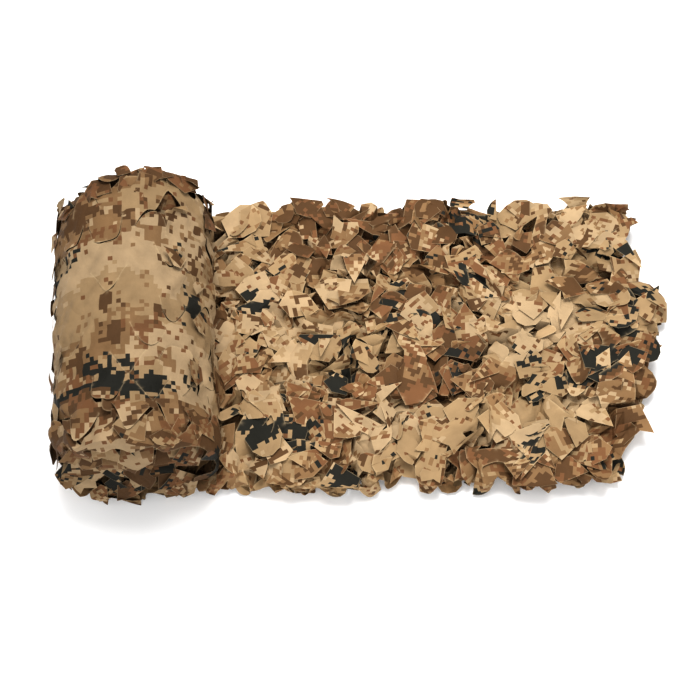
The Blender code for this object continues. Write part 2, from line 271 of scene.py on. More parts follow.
class LeafShape(Enum):
    """The outline of a leaf, as rows of (share of its half width, share of its height)."""

    ARCH = ((-1.0, 0.0), (-0.84, 0.36), (-0.62, 0.66), (-0.34, 0.9), (0.0, 1.0),
            (0.34, 0.9), (0.62, 0.66), (0.84, 0.36), (1.0, 0.0))
    POINT = ((-1.0, 0.0), (-0.8, 0.16), (-0.56, 0.4), (-0.32, 0.72), (-0.06, 1.0),
             (0.22, 0.78), (0.48, 0.5), (0.74, 0.22), (1.0, 0.0))
    HOOK = ((-1.0, 0.0), (-0.8, 0.3), (-0.6, 0.62), (-0.42, 0.94), (-0.12, 1.02),
            (0.2, 0.84), (0.52, 0.6), (0.78, 0.28), (1.0, 0.0))
    BLUNT = ((-1.0, 0.0), (-0.86, 0.42), (-0.7, 0.84), (-0.36, 0.96), (0.0, 0.92),
             (0.34, 1.0), (0.66, 0.9), (0.84, 0.44), (1.0, 0.0))


@dataclass(frozen=True)
class LeafCut:
    """One slit, an arch through the cloth, whose leaf stays joined along the arch's open side."""

    u: float
    v: float
    half_width: float
    height: float
    shape: LeafShape
    flipped: bool
    turn: float
    tip: Tip
    lift: float  # radians that the leaf stands off its bed

    def arch(self) -> Array:
        """Works out the slit.

        Returns:
            (n, 2) points from one end to the other.
        """
        rows = np.array(self.shape.value)
        if self.flipped:
            rows = rows[::-1] * (-1.0, 1.0)
        across = self.half_width * rows[:, 0]
        along = self.tip.value * self.height * (rows[:, 1] - ARCH_SEAT)
        cos, sin = math.cos(self.turn), math.sin(self.turn)
        return np.stack([self.u + across * cos - along * sin, self.v + across * sin + along * cos], axis=1)

    def pointing(self) -> Array:
        """The flat direction from the leaf's hinge to its tip."""
        return self.tip.value * np.array([-math.sin(self.turn), math.cos(self.turn)])

    def resized(self, size: float) -> LeafCut:
        """The same cut at another size."""
        return replace(self, half_width=self.half_width * size, height=self.height * size)


class Bed(Protocol):
    """What a flat pattern is laid on."""

    def place(self, u: float, v: float) -> Array:
        """The place of a flat point."""

    def lift(self, u: float, v: float, draws: random.Random) -> float:
        """How steeply a leaf there stands off the bed, in radians."""

    def shows(self, u: float, v: float) -> bool:
        """Whether the cloth shows there, and so is meshed finely."""

    def open_share(self, u: float, v: float) -> float:
        """The share of the slits that have come open there; the others lie shut and don't show."""


@dataclass
class CutCloth:
    """A cut cloth lying flat: its mesh, and the leaf that each of its points belongs to."""

    mesh: Mesh
    flat: Array
    faces: Array
    cuts: list[LeafCut]
    leaf_of: Array
    depth: Array

    def laid_on(self, bed: Bed) -> Array:
        """Lays the cloth on a bed with each leaf turned up, or tucked under, about its hinge.

        Args:
            bed: what the cloth is laid on.

        Returns:
            (n, 3) places.
        """
        places = np.empty((len(self.flat), 3))
        for index, (u, v) in enumerate(self.flat):
            if self.leaf_of[index] < 0:
                places[index] = bed.place(u, v)
                continue
            cut, depth = self.cuts[self.leaf_of[index]], self.depth[index]
            way = cut.pointing()
            foot = np.array([u, v]) - depth * way
            at = bed.place(*foot)
            along_u = (bed.place(foot[0] + PROBE, foot[1]) - at) / PROBE
            along_v = (bed.place(foot[0], foot[1] + PROBE) - at) / PROBE
            out = np.cross(along_v, along_u)
            out /= max(np.linalg.norm(out), 1e-9)
            along = way[0] * along_u + way[1] * along_v
            places[index] = at + depth * (math.cos(cut.lift) * along + math.sin(cut.lift) * out)
        return places


@dataclass
class FlatPattern:
    """The flat, printed cloth with its leaf cuts, at the size that it lies at once crowded."""

    length: float  # along u
    width: float  # along v
    edge: float  # mesh size
    crowding: float  # size as it lies, over the size it is cut at
    seed: int
    turned: float = 0.55  # share of the leaves whose tips point back along v
    margins: tuple[float, float, float, float] = (0.01, 0.018, 0.018, 0.018)  # at u 0, u end, v 0, v end
    bites: tuple[float, float, float, float] = (0.0, 0.02, 0.018, 0.018)  # depth of the ragged edge there
    tip_gaps: Pair = (0.6, 1.4)  # least and most distance between that edge's tips, over the mean
    notch_at: Pair = (0.3, 0.7)  # where between two tips their notch is
    notch_depth: Pair = (0.5, 1.2)  # its depth, over the bite
    notch_side: Pair = (0.4, 0.8)  # the depth halfway to it, over its own
    sizes: Pair = (0.9, 1.08)  # least and most size of a leaf
    widths: Pair = (0.92, 1.06)  # the same, across it alone
    heights: Pair = (0.88, 1.1)  # the same, from its hinge to its tip alone
    smaller: float = 0.86  # size of a leaf that is cut where it wouldn't fit whole
    shares: tuple[float, float, float, float] = (0.25, 0.32, 0.28, 0.15)  # of each leaf shape
    skew: float = 15.0  # most degrees that a leaf is turned
    strays: Pair = (0.004, 0.003)  # most that it is moved along u and v
    coarser: float = 2.2  # mesh size where the cloth doesn't show, over that at its edge
    jitter: float = 0.15  # of the mesh's points, over their distance
    clearance: float = 0.6  # least distance of such a point from a fixed one, over the same
    draws: random.Random = field(init=False)

    def __post_init__(self) -> None:
        """Seeds the draws."""
        self.draws = random.Random(self.seed)

    def side(self, reach: float, depth: float, pitch: float) -> tuple[Array, Array]:
        """An edge's points, from the start up to just before the end.

        Args:
            reach: the edge's length.
            depth: how far its notches stand back.
            pitch: the mean distance between its tips.

        Returns:
            The points' places along the edge, and how far each stands back.
        """
        tips = [0.0]
        while tips[-1] < reach - self.tip_gaps[1] * pitch:
            tips.append(tips[-1] + pitch * self.draws.uniform(*self.tip_gaps))
        tips.append(reach)
        knots, backs = [], []
        for first, second in zip(tips, tips[1:]):
            notch = first + (second - first) * self.draws.uniform(*self.notch_at)
            deep = depth * self.draws.uniform(*self.notch_depth)
            before, after = (deep * self.draws.uniform(*self.notch_side) for _ in range(2))
            knots += [first, 0.5 * (first + notch), notch, 0.5 * (notch + second)]
            backs += [0.0, before, deep, after]
        at = np.linspace(0.0, reach, max(4, int(1.2 * reach / self.edge)), endpoint=False)
        return at, np.interp(at, knots + [reach], backs + [0.0])

    def outline(self) -> Array:
        """Draws the cloth's outline.

        Returns:
            (n, 2) points, anticlockwise from u 0, v 0.
        """
        start, end, low, high = self.bites
        pitch = LEAF_PITCH * self.crowding
        low_u, low_v = self.side(self.length, low, pitch)
        end_v, end_back = self.side(self.width, end, 0.8 * pitch)
        high_u, high_back = self.side(self.length, high, pitch)
        start_v, start_back = self.side(self.width, start, pitch)
        return np.concatenate([
            np.stack([low_u, low_v], axis=1),
            np.stack([self.length - end_back, end_v], axis=1),
            np.stack([self.length - high_u, self.width - high_back], axis=1),
            np.stack([start_back, self.width - start_v], axis=1),
        ])

    def draw_cuts(self, bed: Bed) -> list[LeafCut]:
        """Draws the leaf cuts, row by row, each row half a leaf aside of the last.

        Args:
            bed: what the cloth will lie on, which gives each leaf's lift.

        Returns:
            The cuts, all clear of the outline and of each other.
        """
        cuts: list[LeafCut] = []
        taken: list[Array] = []
        low_u, high_u, low_v, high_v = self.margins
        pitch, row_pitch = LEAF_PITCH * self.crowding, ROW_PITCH * self.crowding
        near_rows = 3 * (int(self.length / pitch) + 2)
        for row in range(int(self.width / row_pitch) + 1):
            for column in range(-1, int(self.length / pitch) + 1):
                u = (column + 0.5 + 0.5 * (row % 2)) * pitch
                v = (row + 0.5) * row_pitch
                if self.draws.random() >= bed.open_share(u, v):
                    continue
                drawn = self.draw_cut(u, v, bed)
                for size in (1.0, self.smaller):
                    cut = drawn.resized(size)
                    arch = cut.arch()
                    clear = (arch[:, 0].min() > low_u and arch[:, 0].max() < self.length - high_u
                             and arch[:, 1].min() > low_v and arch[:, 1].max() < self.width - high_v)
                    near = [other for other in taken[-near_rows:]
                            if np.abs(other[TIP_POINT] - arch[TIP_POINT]).max() < 1.6 * pitch]
                    gaps = [np.linalg.norm(other[:, None] - arch[None], axis=2).min() for other in near]
                    if clear and min(gaps, default=1.0) > SLIT_GAP:
                        cuts.append(cut)
                        taken.append(arch)
                        break
        return cuts

    def draw_cut(self, u: float, v: float, bed: Bed) -> LeafCut:
        """Draws the leaf cut of one lattice point.

        Args:
            u: the lattice point's place along the cloth.
            v: its place across the cloth.
            bed: what the cloth will lie on.

        Returns:
            The cut.
        """
        draws = self.draws
        size = self.crowding * draws.uniform(*self.sizes)
        stray_u, stray_v = self.strays
        return LeafCut(
            u=u + draws.uniform(-stray_u, stray_u),
            v=v + draws.uniform(-stray_v, stray_v),
            half_width=LEAF_HALF_WIDTH * size * draws.uniform(*self.widths),
            height=LEAF_HEIGHT * size * draws.uniform(*self.heights),
            shape=draws.choices(list(LeafShape), self.shares)[0],
            flipped=draws.random() < 0.5,
            turn=math.radians(draws.uniform(-self.skew, self.skew)),
            tip=Tip.BACK if draws.random() < self.turned else Tip.ONWARD,
            lift=bed.lift(u, v, draws),
        )

    def cut(self, bed: Bed) -> CutCloth:
        """Cuts the cloth: meshes its flat shape with every slit open.

        Args:
            bed: what the cloth will lie on.

        Returns:
            The cut cloth, still flat.
        """
        cuts = self.draw_cuts(bed)
        outline = self.outline()
        points = [outline]
        edges = [(index, (index + 1) % len(outline)) for index in range(len(outline))]
        first_slit = len(edges)
        count = len(outline)
        for cut in cuts:
            arch = cut.arch()
            points.append(arch)
            edges += [(count + step, count + step + 1) for step in range(len(arch) - 1)]
            count += len(arch)
        fixed = np.concatenate(points)
        for edge, shown in ((self.coarser * self.edge, False), (self.edge, True)):
            fixed = np.concatenate([fixed, self.filling(fixed, edge, bed, shown)])
        flat = [Vector(point) for point in fixed]
        found, found_edges, found_faces, _, edge_from, _ = delaunay_2d_cdt(flat, edges, [], 1, 1e-6, True)
        flat = np.array([point[:] for point in found])
        faces = np.array([face[:] for face in found_faces])
        faces = faces[inside(outline, flat[faces].mean(axis=1))]
        slits = [edge for edge, ids in zip(found_edges, edge_from) if any(one >= first_slit for one in ids)]
        mesh = self.opened(flat, faces, slits)
        flat = coordinates(mesh)[:, :2].copy()
        faces = np.array([polygon.vertices[:] for polygon in mesh.polygons])
        leaf_of, depth = self.leaves_of(cuts, flat, faces)
        return CutCloth(mesh, flat, faces, cuts, leaf_of, depth)

    def filling(self, fixed: Array, edge: float, bed: Bed, shown: bool) -> Array:
        """Jittered points in a triangular lattice, clear of the fixed points.

        Args:
            fixed: (n, 2) points to stay clear of.
            edge: distance between the points.
            bed: tells which places show.
            shown: whether to fill the places that show, or the others.

        Returns:
            (m, 2) points.
        """
        tree = KDTree(len(fixed))
        for index, point in enumerate(fixed):
            tree.insert((*point, 0.0), index)
        tree.balance()
        found, row_height = [], edge * LATTICE_ROW
        jitter = self.jitter * edge
        for row in range(1, int(self.width / row_height)):
            for column in range(int(self.length / edge)):
                u = (column + 0.5 + 0.5 * (row % 2)) * edge + self.draws.uniform(-jitter, jitter)
                v = row * row_height + self.draws.uniform(-jitter, jitter)
                if bed.shows(u, v) == shown and tree.find((u, v, 0.0))[2] > self.clearance * edge:
                    found.append((u, v))
        return np.array(found).reshape(-1, 2)

    @staticmethod
    def opened(flat: Array, faces: Array, slits: list) -> Mesh:
        """Makes the flat cloth's mesh, with its slits split open and any loose scrap removed.

        Args:
            flat: (n, 2) points.
            faces: (m, 3) point numbers.
            slits: pairs of point numbers, the edges to split.

        Returns:
            The mesh.
        """
        bm = bmesh.new()
        verts = [bm.verts.new((*point, 0.0)) for point in flat]
        for face in faces:
            bm.faces.new([verts[index] for index in face[::-1]])
        cut_edges = [bm.edges.get((verts[a], verts[b])) for a, b in slits]
        bmesh.ops.split_edges(bm, edges=[edge for edge in cut_edges if edge])
        loose, islands = {vert for vert in bm.verts}, []
        while loose:
            open_ends = [loose.pop()]
            island = list(open_ends)
            while open_ends:
                for edge in open_ends.pop().link_edges:
                    for vert in edge.verts:
                        if vert in loose:
                            loose.remove(vert)
                            open_ends.append(vert)
                            island.append(vert)
            islands.append(island)
        islands.sort(key=len)
        for island in islands[:-1]:
            bmesh.ops.delete(bm, geom=island, context="VERTS")
        return meshed(bm, "cut_cloth")

    @staticmethod
    def leaves_of(cuts: list[LeafCut], flat: Array, faces: Array) -> tuple[Array, Array]:
        """Finds the leaf that each point belongs to.

        Args:
            cuts: the leaf cuts.
            flat: (n, 2) points.
            faces: (m, 3) point numbers.

        Returns:
            Each point's leaf, or -1, and how far the point is from the leaf's hinge.
        """
        leaf_of, depths = np.full(len(flat), -1), np.zeros(len(flat))
        middles = flat[faces].mean(axis=1)
        for number, cut in enumerate(cuts):
            arch = cut.arch()
            close = np.flatnonzero(np.abs(middles - (cut.u, cut.v)).max(axis=1) < LEAF_PITCH)
            members = np.unique(faces[close[inside(arch, middles[close])]])
            depth = (flat[members] - arch[0]) @ cut.pointing()
            members, depth = members[depth > HINGE_DEPTH], depth[depth > HINGE_DEPTH]
            leaf_of[members] = number
            depths[members] = depth
        return leaf_of, depths


# ---------------- beds
@dataclass
class FoldedBed:
    """The bed of the loose end: a zigzag of three layers, the top one first, from its far free edge."""

    axis_x: float  # X of the roll's axis at Y 0
    length: float = 0.7
    layer: float = 0.48  # across one layer
    slimmer: float = 0.965  # of the solid, so that the leaves' tips make up its width
    fold: float = math.pi * LAID_SPACING / 2.0  # round one fold
    top_leaf: Pair = (10.0, 38.0)  # least and most degrees that a top leaf lifts
    top_tuck: Pair = (-9.0, -5.0)  # the same for those tucked under, half of them
    low_leaf: Pair = (4.0, 7.0)  # the same, either way, in the layers below
    nip_leaf: float = 6.0  # degrees that the leaves in the nip lift
    nip: float = 0.06  # the nip's length along u
    # how much further out than the solid the cloth lies, at END_Y and at SIDE_X, so that it fills its outline
    end_more: tuple[float, ...] = (0.008, 0.004, 0.01, 0.02, 0.01, 0.018, -0.006, -0.02, 0.006, 0.014)
    near_more: tuple[float, ...] = (0.0, 0.0, 0.014, 0.008, -0.01, -0.002, 0.0, 0.0, 0.0, 0.004, 0.006)
    far_more: tuple[float, ...] = (0.0, 0.0, -0.008, -0.008, 0.0, 0.0, 0.008, -0.006, 0.0, 0.02, 0.02)

    @property
    def width(self) -> float:
        """The whole cloth across, as it lies."""
        return 3.0 * self.layer + 2.0 * self.fold

    def place(self, u: float, v: float) -> Array:
        """Finds a flat point's place on the zigzag.

        Args:
            u: the point's place along the cloth, from the nip.
            v: its place across, from the top layer's far edge.

        Returns:
            The place.
        """
        run = self.layer + self.fold
        number = min(2, int(v // run)) if v > 0.0 else 0
        within = v - number * run
        rest = max(0.0, within - self.layer)
        turn = math.pi * rest / self.fold
        share = min(within, self.layer) / self.layer
        side = -1.0 if number % 2 == 0 else 1.0  # the layer runs towards this side
        across = share if side > 0.0 else 1.0 - share
        y_flat = (across - 0.5) * self.layer
        end = float(np.interp(y_flat, END_Y, np.add(END_X, self.end_more)))
        from_axis = LAID_START + (end - LAID_START) * u / self.length
        near = float(np.interp(from_axis, SIDE_X, np.subtract(NEAR_Y, self.near_more)))
        far = float(np.interp(from_axis, SIDE_X, np.add(FAR_Y, self.far_more)))
        y = self.slimmer * (near + (far - near) * across)
        loft = float(soft_step(from_axis, LAID_START, FULL_LOFT_AT - LAID_START))
        spacing = NIP_SPACING + (LAID_SPACING - NIP_SPACING) * loft
        z = FIRST_HEIGHT + spacing * (2 - number - (1.0 - math.cos(turn)) / 2.0)
        y += side * math.sin(turn) * spacing / 2.0
        x = self.axis_x + from_axis - y * math.tan(ROLL_YAW) * (1.0 - u / self.length)
        return np.array([x, y, z])

    def lift(self, u: float, v: float, draws: random.Random) -> float:
        """Draws a leaf's lift: on the top layer well up or tucked under, below it nearly flat.

        Args:
            u: the leaf's place along the cloth.
            v: its place across.
            draws: the random draws.

        Returns:
            The lift in radians.
        """
        if v > self.layer + self.fold:
            return math.radians(draws.uniform(*self.low_leaf) * draws.choice((-1.0, 1.0)))
        if u < self.nip:
            return math.radians(self.nip_leaf)
        if draws.random() < 0.5:
            return math.radians(draws.uniform(*self.top_tuck))
        return math.radians(draws.uniform(*self.top_leaf))

    def shows(self, u: float, v: float) -> bool:
        """All of it shows."""
        return True

    def open_share(self, u: float, v: float) -> float:
        """Every slit is open."""
        return 1.0


@dataclass
class WoundBed:
    """The bed of the wound cloth: a spiral from the roll's core, at u 0, to its outer turn.

    The near rim is at v 0.
    """

    axis_x: float
    turns: float = 8.2
    pitch: float = 0.11  # from turn to turn, as a share of the roll's radius
    half: float = 0.262  # from the roll's middle to a rim, along the cloth as it lies
    rim: float = 0.08  # how far in from a rim the inner turns are cut
    stand_off: float = 0.001  # of the cloth from the radius it is wound to
    slim: float = 0.975  # the outer turn's radius, as a share of the solid's
    # how much shorter than the solid the far end reaches, at ROLL_DEGREES, so that leaf tips make up the rest
    far_trim: tuple[float, ...] = (0.0, 0.004, 0.012, 0.014, 0.006, 0.019, 0.0, 0.0, 0.0)
    set_back: float = 0.01  # from the ends' reach to where leaf tips are eased back
    end_room: float = 0.01  # most that they stand past it
    side_room: float = 0.009  # the same, off the roll's side
    draw_in: Pair = (0.01, 0.006)  # of the side away from the loose end, near and far
    narrow: Pair = (0.13, 0.09)  # from the middle to where that starts, and its run
    recess: float = 0.01  # least that the inner turns' rims lie behind the outer one's
    core: float = 0.08  # the innermost radius, as a share of the roll's
    standing: float = 0.62  # share of the leaves that stand up at the rims
    stand: Pair = (8.0, 30.0)  # least and most degrees that these lift
    loosened: float = 0.18  # share of the others that lift a little
    loosen: Pair = (3.5, 9.0)  # least and most degrees that these lift
    lie: Pair = (0.3, 2.4)  # the same for the rest
    middle_open: float = 0.55  # share of the slits that are open where the cloth is drawn tight
    open_from: Pair = (0.13, 0.06)  # from the middle to where more of them are, and the run to all
    stand_from: Pair = (0.16, 0.08)  # from the middle to where leaves begin to stand up, and the run
    inner_from: Pair = (0.85, 0.3)  # turns in to where the cloth begins to lie as inner turns do, and the run
    shown: float = 1.35  # turns in as far as which the cloth shows
    ripple: float = 2.3  # how quickly the recess changes from turn to turn
    lengths: Array = field(init=False)
    counts: Array = field(init=False)

    def __post_init__(self) -> None:
        """Measures the spiral: its length at each count of turns from its outer end."""
        counts = np.linspace(self.turns, 0.0, 400)
        shares = np.array([self.share(count) for count in counts])
        round_length = math.pi * (ROLL_WIDTH + ROLL_HEIGHT + ROLL_SINK) / 2.0
        steps = -np.diff(counts) * round_length * (shares[1:] + shares[:-1]) / 2.0
        self.counts, self.lengths = counts, np.concatenate([[0.0], np.cumsum(steps)])

    @property
    def length(self) -> float:
        """The spiral's length."""
        return float(self.lengths[-1])

    def reach(self, degrees: Array | float, way_out: float) -> Array:
        """How far an end's rim lies from the roll's middle, round the roll.

        Args:
            degrees: angles up from +X, from -90 to 270.
            way_out: below 0 for the near end, above it for the far one.

        Returns:
            The distances along the axis.
        """
        if way_out < 0.0:
            return np.interp(degrees, ROLL_DEGREES, NEAR_REACH)
        return np.interp(degrees, ROLL_DEGREES, FAR_REACH) - np.interp(degrees, ROLL_DEGREES, self.far_trim)

    def share(self, count: float) -> float:
        """The radius there, as a share of the roll's: the outer turn stays out, and the rest close in."""
        return self.slim - self.pitch * float(np.interp(count, (0.0, 0.8, 1.2, 20.0), (0.0, 0.0, 1.0, 19.8)))

    def count(self, u: float) -> float:
        """The count of turns in from the outer end."""
        return float(np.interp(u, self.lengths, self.counts))

    def point(self, degrees: float, share: float, y: float) -> Array:
        """Finds a point in the roll.

        Args:
            degrees: its angle up from +X.
            share: its radius, as a share of the full one.
            y: its place along the axis.

        Returns:
            The point, no lower than the flat spot under it.
        """
        half = (ROLL_HEIGHT + ROLL_SINK) / 2.0
        middle = half - ROLL_SINK
        angle = math.radians(degrees)
        x = (ROLL_WIDTH / 2.0 * share + self.stand_off) * math.cos(angle)
        z = middle + (half * share + self.stand_off) * math.sin(angle)
        z = max(self.stand_off + middle * (1.0 - share), z)
        cos, sin = math.cos(ROLL_YAW), math.sin(ROLL_YAW)
        return np.array([self.axis_x + x * cos - y * sin, x * sin + y * cos, z])

    def place(self, u: float, v: float) -> Array:
        """Finds a flat point's place: the outer turn falls in over the roll's ends, the others stop short.

        Args:
            u: the point's place along the cloth, from the core.
            v: its place across, from the near rim.

        Returns:
            The place.
        """
        count = self.count(u)
        share = self.share(count)
        degrees = -90.0 - 360.0 * count
        around = (degrees + 90.0) % 360.0 - 90.0
        way = -1.0 if v < self.half else 1.0
        out = abs(v - self.half)
        reach = float(self.reach(around, way))
        inner = float(soft_step(count, *self.inner_from))
        full = (ROLL_WIDTH + ROLL_HEIGHT) / 4.0
        radius = float(np.interp(around, ROLL_DEGREES, SHOULDER))
        turn = min(max(0.0, out - (reach - radius)) / radius, math.pi / 2.0)
        past = max(0.0, out - (reach - radius) - radius * math.pi / 2.0)
        outer_y = min(out, reach - radius) + radius * math.sin(turn)
        outer_share = share - (radius * (1.0 - math.cos(turn)) + past) / full
        recess = self.recess * (1.0 + math.sin(self.ripple * count) ** 2)
        inner_y = (reach - recess) * out / self.half
        y = way * (outer_y + (inner_y - outer_y) * inner)
        return self.point(degrees, max(self.core, outer_share + (share - outer_share) * inner), y)

    def pressed(self, places: Array, room: float, end_room: float) -> Array:
        """Eases what stands too far off the roll, or out of its ends, back within its reach.

        Args:
            places: (n, 3) places.
            room: how far off the roll's side is still within reach.
            end_room: how far past its ends' rims is within reach.

        Returns:
            (n, 3) eased places.
        """
        half = (ROLL_HEIGHT + ROLL_SINK) / 2.0
        middle = half - ROLL_SINK
        cos, sin = math.cos(ROLL_YAW), math.sin(ROLL_YAW)
        x = (places[:, 0] - self.axis_x) * cos + places[:, 1] * sin
        y = -(places[:, 0] - self.axis_x) * sin + places[:, 1] * cos
        z = places[:, 2] - middle
        around = (np.degrees(np.arctan2(z, x)) + 90.0) % 360.0 - 90.0
        reach = np.where(y < 0.0, self.reach(around, -1.0), self.reach(around, 1.0))
        y = np.sign(y) * eased(np.abs(y), reach - self.set_back, self.set_back + end_room)
        share = np.hypot(x / (ROLL_WIDTH / 2.0), z / half)
        scale = eased(share, 1.0 + self.stand_off / half, room / half) / np.maximum(share, 1e-6)
        x, z = x * scale, z * scale
        drawn = np.where(y < 0.0, *self.draw_in) * soft_step(np.abs(y), *self.narrow)
        x += drawn * np.clip(-2.0 * x / ROLL_WIDTH, 0.0, 1.0)
        return np.stack([self.axis_x + x * cos - y * sin, x * sin + y * cos,
                         np.maximum(z + middle, FLOOR_GAP)], axis=1)

    def lift(self, u: float, v: float, draws: random.Random) -> float:
        """Draws a leaf's lift: most lie close, more of them stand up towards the rims.

        Args:
            u: the leaf's place along the cloth, not used.
            v: its place across.
            draws: the random draws.

        Returns:
            The lift in radians.
        """
        out = abs(v - self.half)
        if draws.random() < self.standing * float(soft_step(out, *self.stand_from)):
            return math.radians(draws.uniform(*self.stand))
        if draws.random() < self.loosened:
            return math.radians(draws.uniform(*self.loosen))
        return math.radians(draws.uniform(*self.lie))

    def shows(self, u: float, v: float) -> bool:
        """The outer turn and a little more shows, and both rims of every turn."""
        return self.count(u) < self.shown or abs(v - self.half) > self.half - self.rim

    def open_share(self, u: float, v: float) -> float:
        """Tells how many slits are open: about half where the cloth is drawn tight, and all by the rims.

        Args:
            u: the place along the cloth.
            v: the place across.

        Returns:
            The share of them.
        """
        if not self.shows(u, v):
            return 0.0
        by_rim = float(soft_step(abs(v - self.half), *self.open_from))
        return self.middle_open + (1.0 - self.middle_open) * by_rim


# ---------------- settling
@dataclass
class Settling:
    """A short cloth simulation that crowds a cut cloth and lets it settle."""

    frames: int = 30
    growth: float = 0.25  # how much longer the cloth is than the bed it lies on
    calm_growth: float = 0.08  # the same, for the points marked calm
    bending: float = 5.0
    stiffness: float = 20.0
    quality: int = 6
    thickness: float = 0.0015

    def run(self, cloth: CutCloth, start: Array, pins: list[int], calm: Array,
            walls: list[Object]) -> Array:
        """Runs the simulation.

        Args:
            cloth: the cut cloth.
            start: (n, 3) places to start from.
            pins: the points that stay where they start.
            calm: (n,) 0 for points that grow fully, up to 1 for those that grow least.
            walls: objects that the cloth can't pass.

        Returns:
            (n, 3) settled places.
        """
        move(cloth.mesh, start)
        cloth.mesh.update()
        obj = link("settling", cloth.mesh)
        obj.vertex_groups.new(name="pins").add(pins, 1.0, "REPLACE")
        calm_group = obj.vertex_groups.new(name="calm")
        for index, weight in enumerate(calm):
            calm_group.add([index], float(weight), "REPLACE")
        modifier = obj.modifiers.new("cloth", "CLOTH")
        self.set_cloth(modifier)
        for wall in walls:
            wall.modifiers.new("wall", "COLLISION")
            wall.collision.thickness_outer = 0.001
            wall.collision.cloth_friction = 30.0
        scene = bpy.context.scene
        for frame in range(1, self.frames + 1):
            scene.frame_set(frame)
        graph = bpy.context.evaluated_depsgraph_get()
        settled = coordinates(obj.evaluated_get(graph).data).copy()
        bpy.data.objects.remove(obj)
        scene.frame_set(1)
        return settled

    def set_cloth(self, modifier: bpy.types.ClothModifier) -> None:
        """Sets the cloth's stiffness, its growth and its collisions.

        Args:
            modifier: the cloth modifier.
        """
        cloth, touch = modifier.settings, modifier.collision_settings
        cloth.quality = self.quality
        cloth.mass = 0.05
        cloth.tension_stiffness = cloth.compression_stiffness = self.stiffness
        cloth.shear_stiffness = 0.7 * self.stiffness
        cloth.bending_stiffness = self.bending
        cloth.tension_damping = cloth.compression_damping = cloth.shear_damping = 5.0
        cloth.bending_damping = 0.5
        cloth.air_damping = 2.0
        cloth.vertex_group_mass = "pins"
        cloth.pin_stiffness = 1.0
        cloth.vertex_group_shrink = "calm"
        cloth.shrink_min = -self.growth
        cloth.shrink_max = -self.calm_growth
        touch.use_collision = touch.use_self_collision = True
        touch.distance_min = 0.001
        touch.self_distance_min = self.thickness
        touch.collision_quality = 3
        modifier.point_cache.frame_start = 1
        modifier.point_cache.frame_end = self.frames


def lattice_pins(cloth: CutCloth, pattern: FlatPattern, keep: float) -> list[int]:
    """Finds the cloth's points at the lattice's joints, between the leaves, where it is tied down.

    Args:
        cloth: the cut cloth.
        pattern: the pattern that it was cut to.
        keep: share of the joints that are kept.

    Returns:
        Point numbers.
    """
    pins = []
    pitch, row_pitch = LEAF_PITCH * pattern.crowding, ROW_PITCH * pattern.crowding
    ground = np.flatnonzero(cloth.leaf_of < 0)
    for row in range(int(pattern.width / row_pitch) + 1):
        for column in range(int(pattern.length / pitch) + 2):
            joint = ((column + 0.5 * (row % 2)) * pitch, (row + 0.5) * row_pitch)
            gaps = np.linalg.norm(cloth.flat[ground] - joint, axis=1)
            if gaps.min() < 0.5 * pattern.edge and pattern.draws.random() < keep:
                pins.append(int(ground[gaps.argmin()]))
    return pins


# ---------------- finishes
@dataclass(frozen=True)
class Patches:
    """Soft patches of the print: where in the noise they are, how large they are and how much they cover."""

    shift: float  # in the noise
    scale: float  # patches in a metre
    squeeze: float  # along the first axis, below 1 for long patches
    level: float  # they cover where the noise passes this
    detail: float = 1.0


@dataclass(frozen=True)
class Print:
    """The colours of the pixel camouflage, which is generic, and the sizes of its pixels and patches."""

    sand: Triple = (0.4, 0.291, 0.174)
    tan: Triple = (0.326, 0.225, 0.122)
    taupe: Triple = (0.236, 0.142, 0.068)
    brown: Triple = (0.184, 0.09, 0.04)
    umber: Triple = (0.11, 0.058, 0.025)
    charcoal: Triple = (0.022, 0.021, 0.016)
    pixel: float = 0.0066
    sandy: Patches = Patches(0.4, 11.0, 0.8, 0.5)
    taupes: Patches = Patches(2.3, 18.0, 0.8, 0.555)
    browns: Patches = Patches(3.1, 7.5, 0.6, 0.505, 1.5)
    deep_browns: Patches = Patches(1.1, 15.0, 0.8, 0.52)
    umbers: Patches = Patches(7.7, 26.0, 0.8, 0.62)
    charcoals: Patches = Patches(11.9, 9.5, 0.7, 0.665)


class NodeTree:
    """A short hand for building one node tree."""

    def __init__(self, tree: bpy.types.NodeTree) -> None:
        """Keeps the tree."""
        self.tree = tree

    def add(self, kind: str, inputs: dict | None = None, **settings: object) -> bpy.types.Node:
        """Adds a node.

        Args:
            kind: the node's type.
            inputs: socket name or number to a value or to another node's output socket.
            settings: the node's own properties.

        Returns:
            The node.
        """
        node = self.tree.nodes.new(kind)
        for name, value in settings.items():
            setattr(node, name, value)
        for key, value in (inputs or {}).items():
            if isinstance(value, NodeSocket):
                self.tree.links.new(value, node.inputs[key])
            else:
                node.inputs[key].default_value = value
        return node

    def math(self, operation: str, first: object, second: object = 0.0) -> NodeSocket:
        """The result of a Math node."""
        return self.add("ShaderNodeMath", {0: first, 1: second}, operation=operation).outputs[0]

    def vector(self, operation: str, first: object, second: object) -> NodeSocket:
        """The result of a Vector Math node."""
        return self.add("ShaderNodeVectorMath", {0: first, 1: second}, operation=operation).outputs[0]

    def scaled(self, vector: object, size: object) -> NodeSocket:
        """A vector times a number."""
        return self.add("ShaderNodeVectorMath", {0: vector, "Scale": size}, operation="SCALE").outputs[0]

    def mix(self, factor: object, first: object, second: object) -> NodeSocket:
        """A colour mix's result."""
        inputs = {"Factor": factor, "A": first, "B": second}
        return self.add("ShaderNodeMix", inputs, data_type="RGBA").outputs["Result"]

    def noise(self, flat: object, scale: float, detail: float, **inputs: float) -> NodeSocket:
        """Noise on the flat map."""
        values = {"Vector": flat, "Scale": scale, "Detail": detail, **inputs}
        return self.add("ShaderNodeTexNoise", values, noise_dimensions="2D").outputs["Fac"]


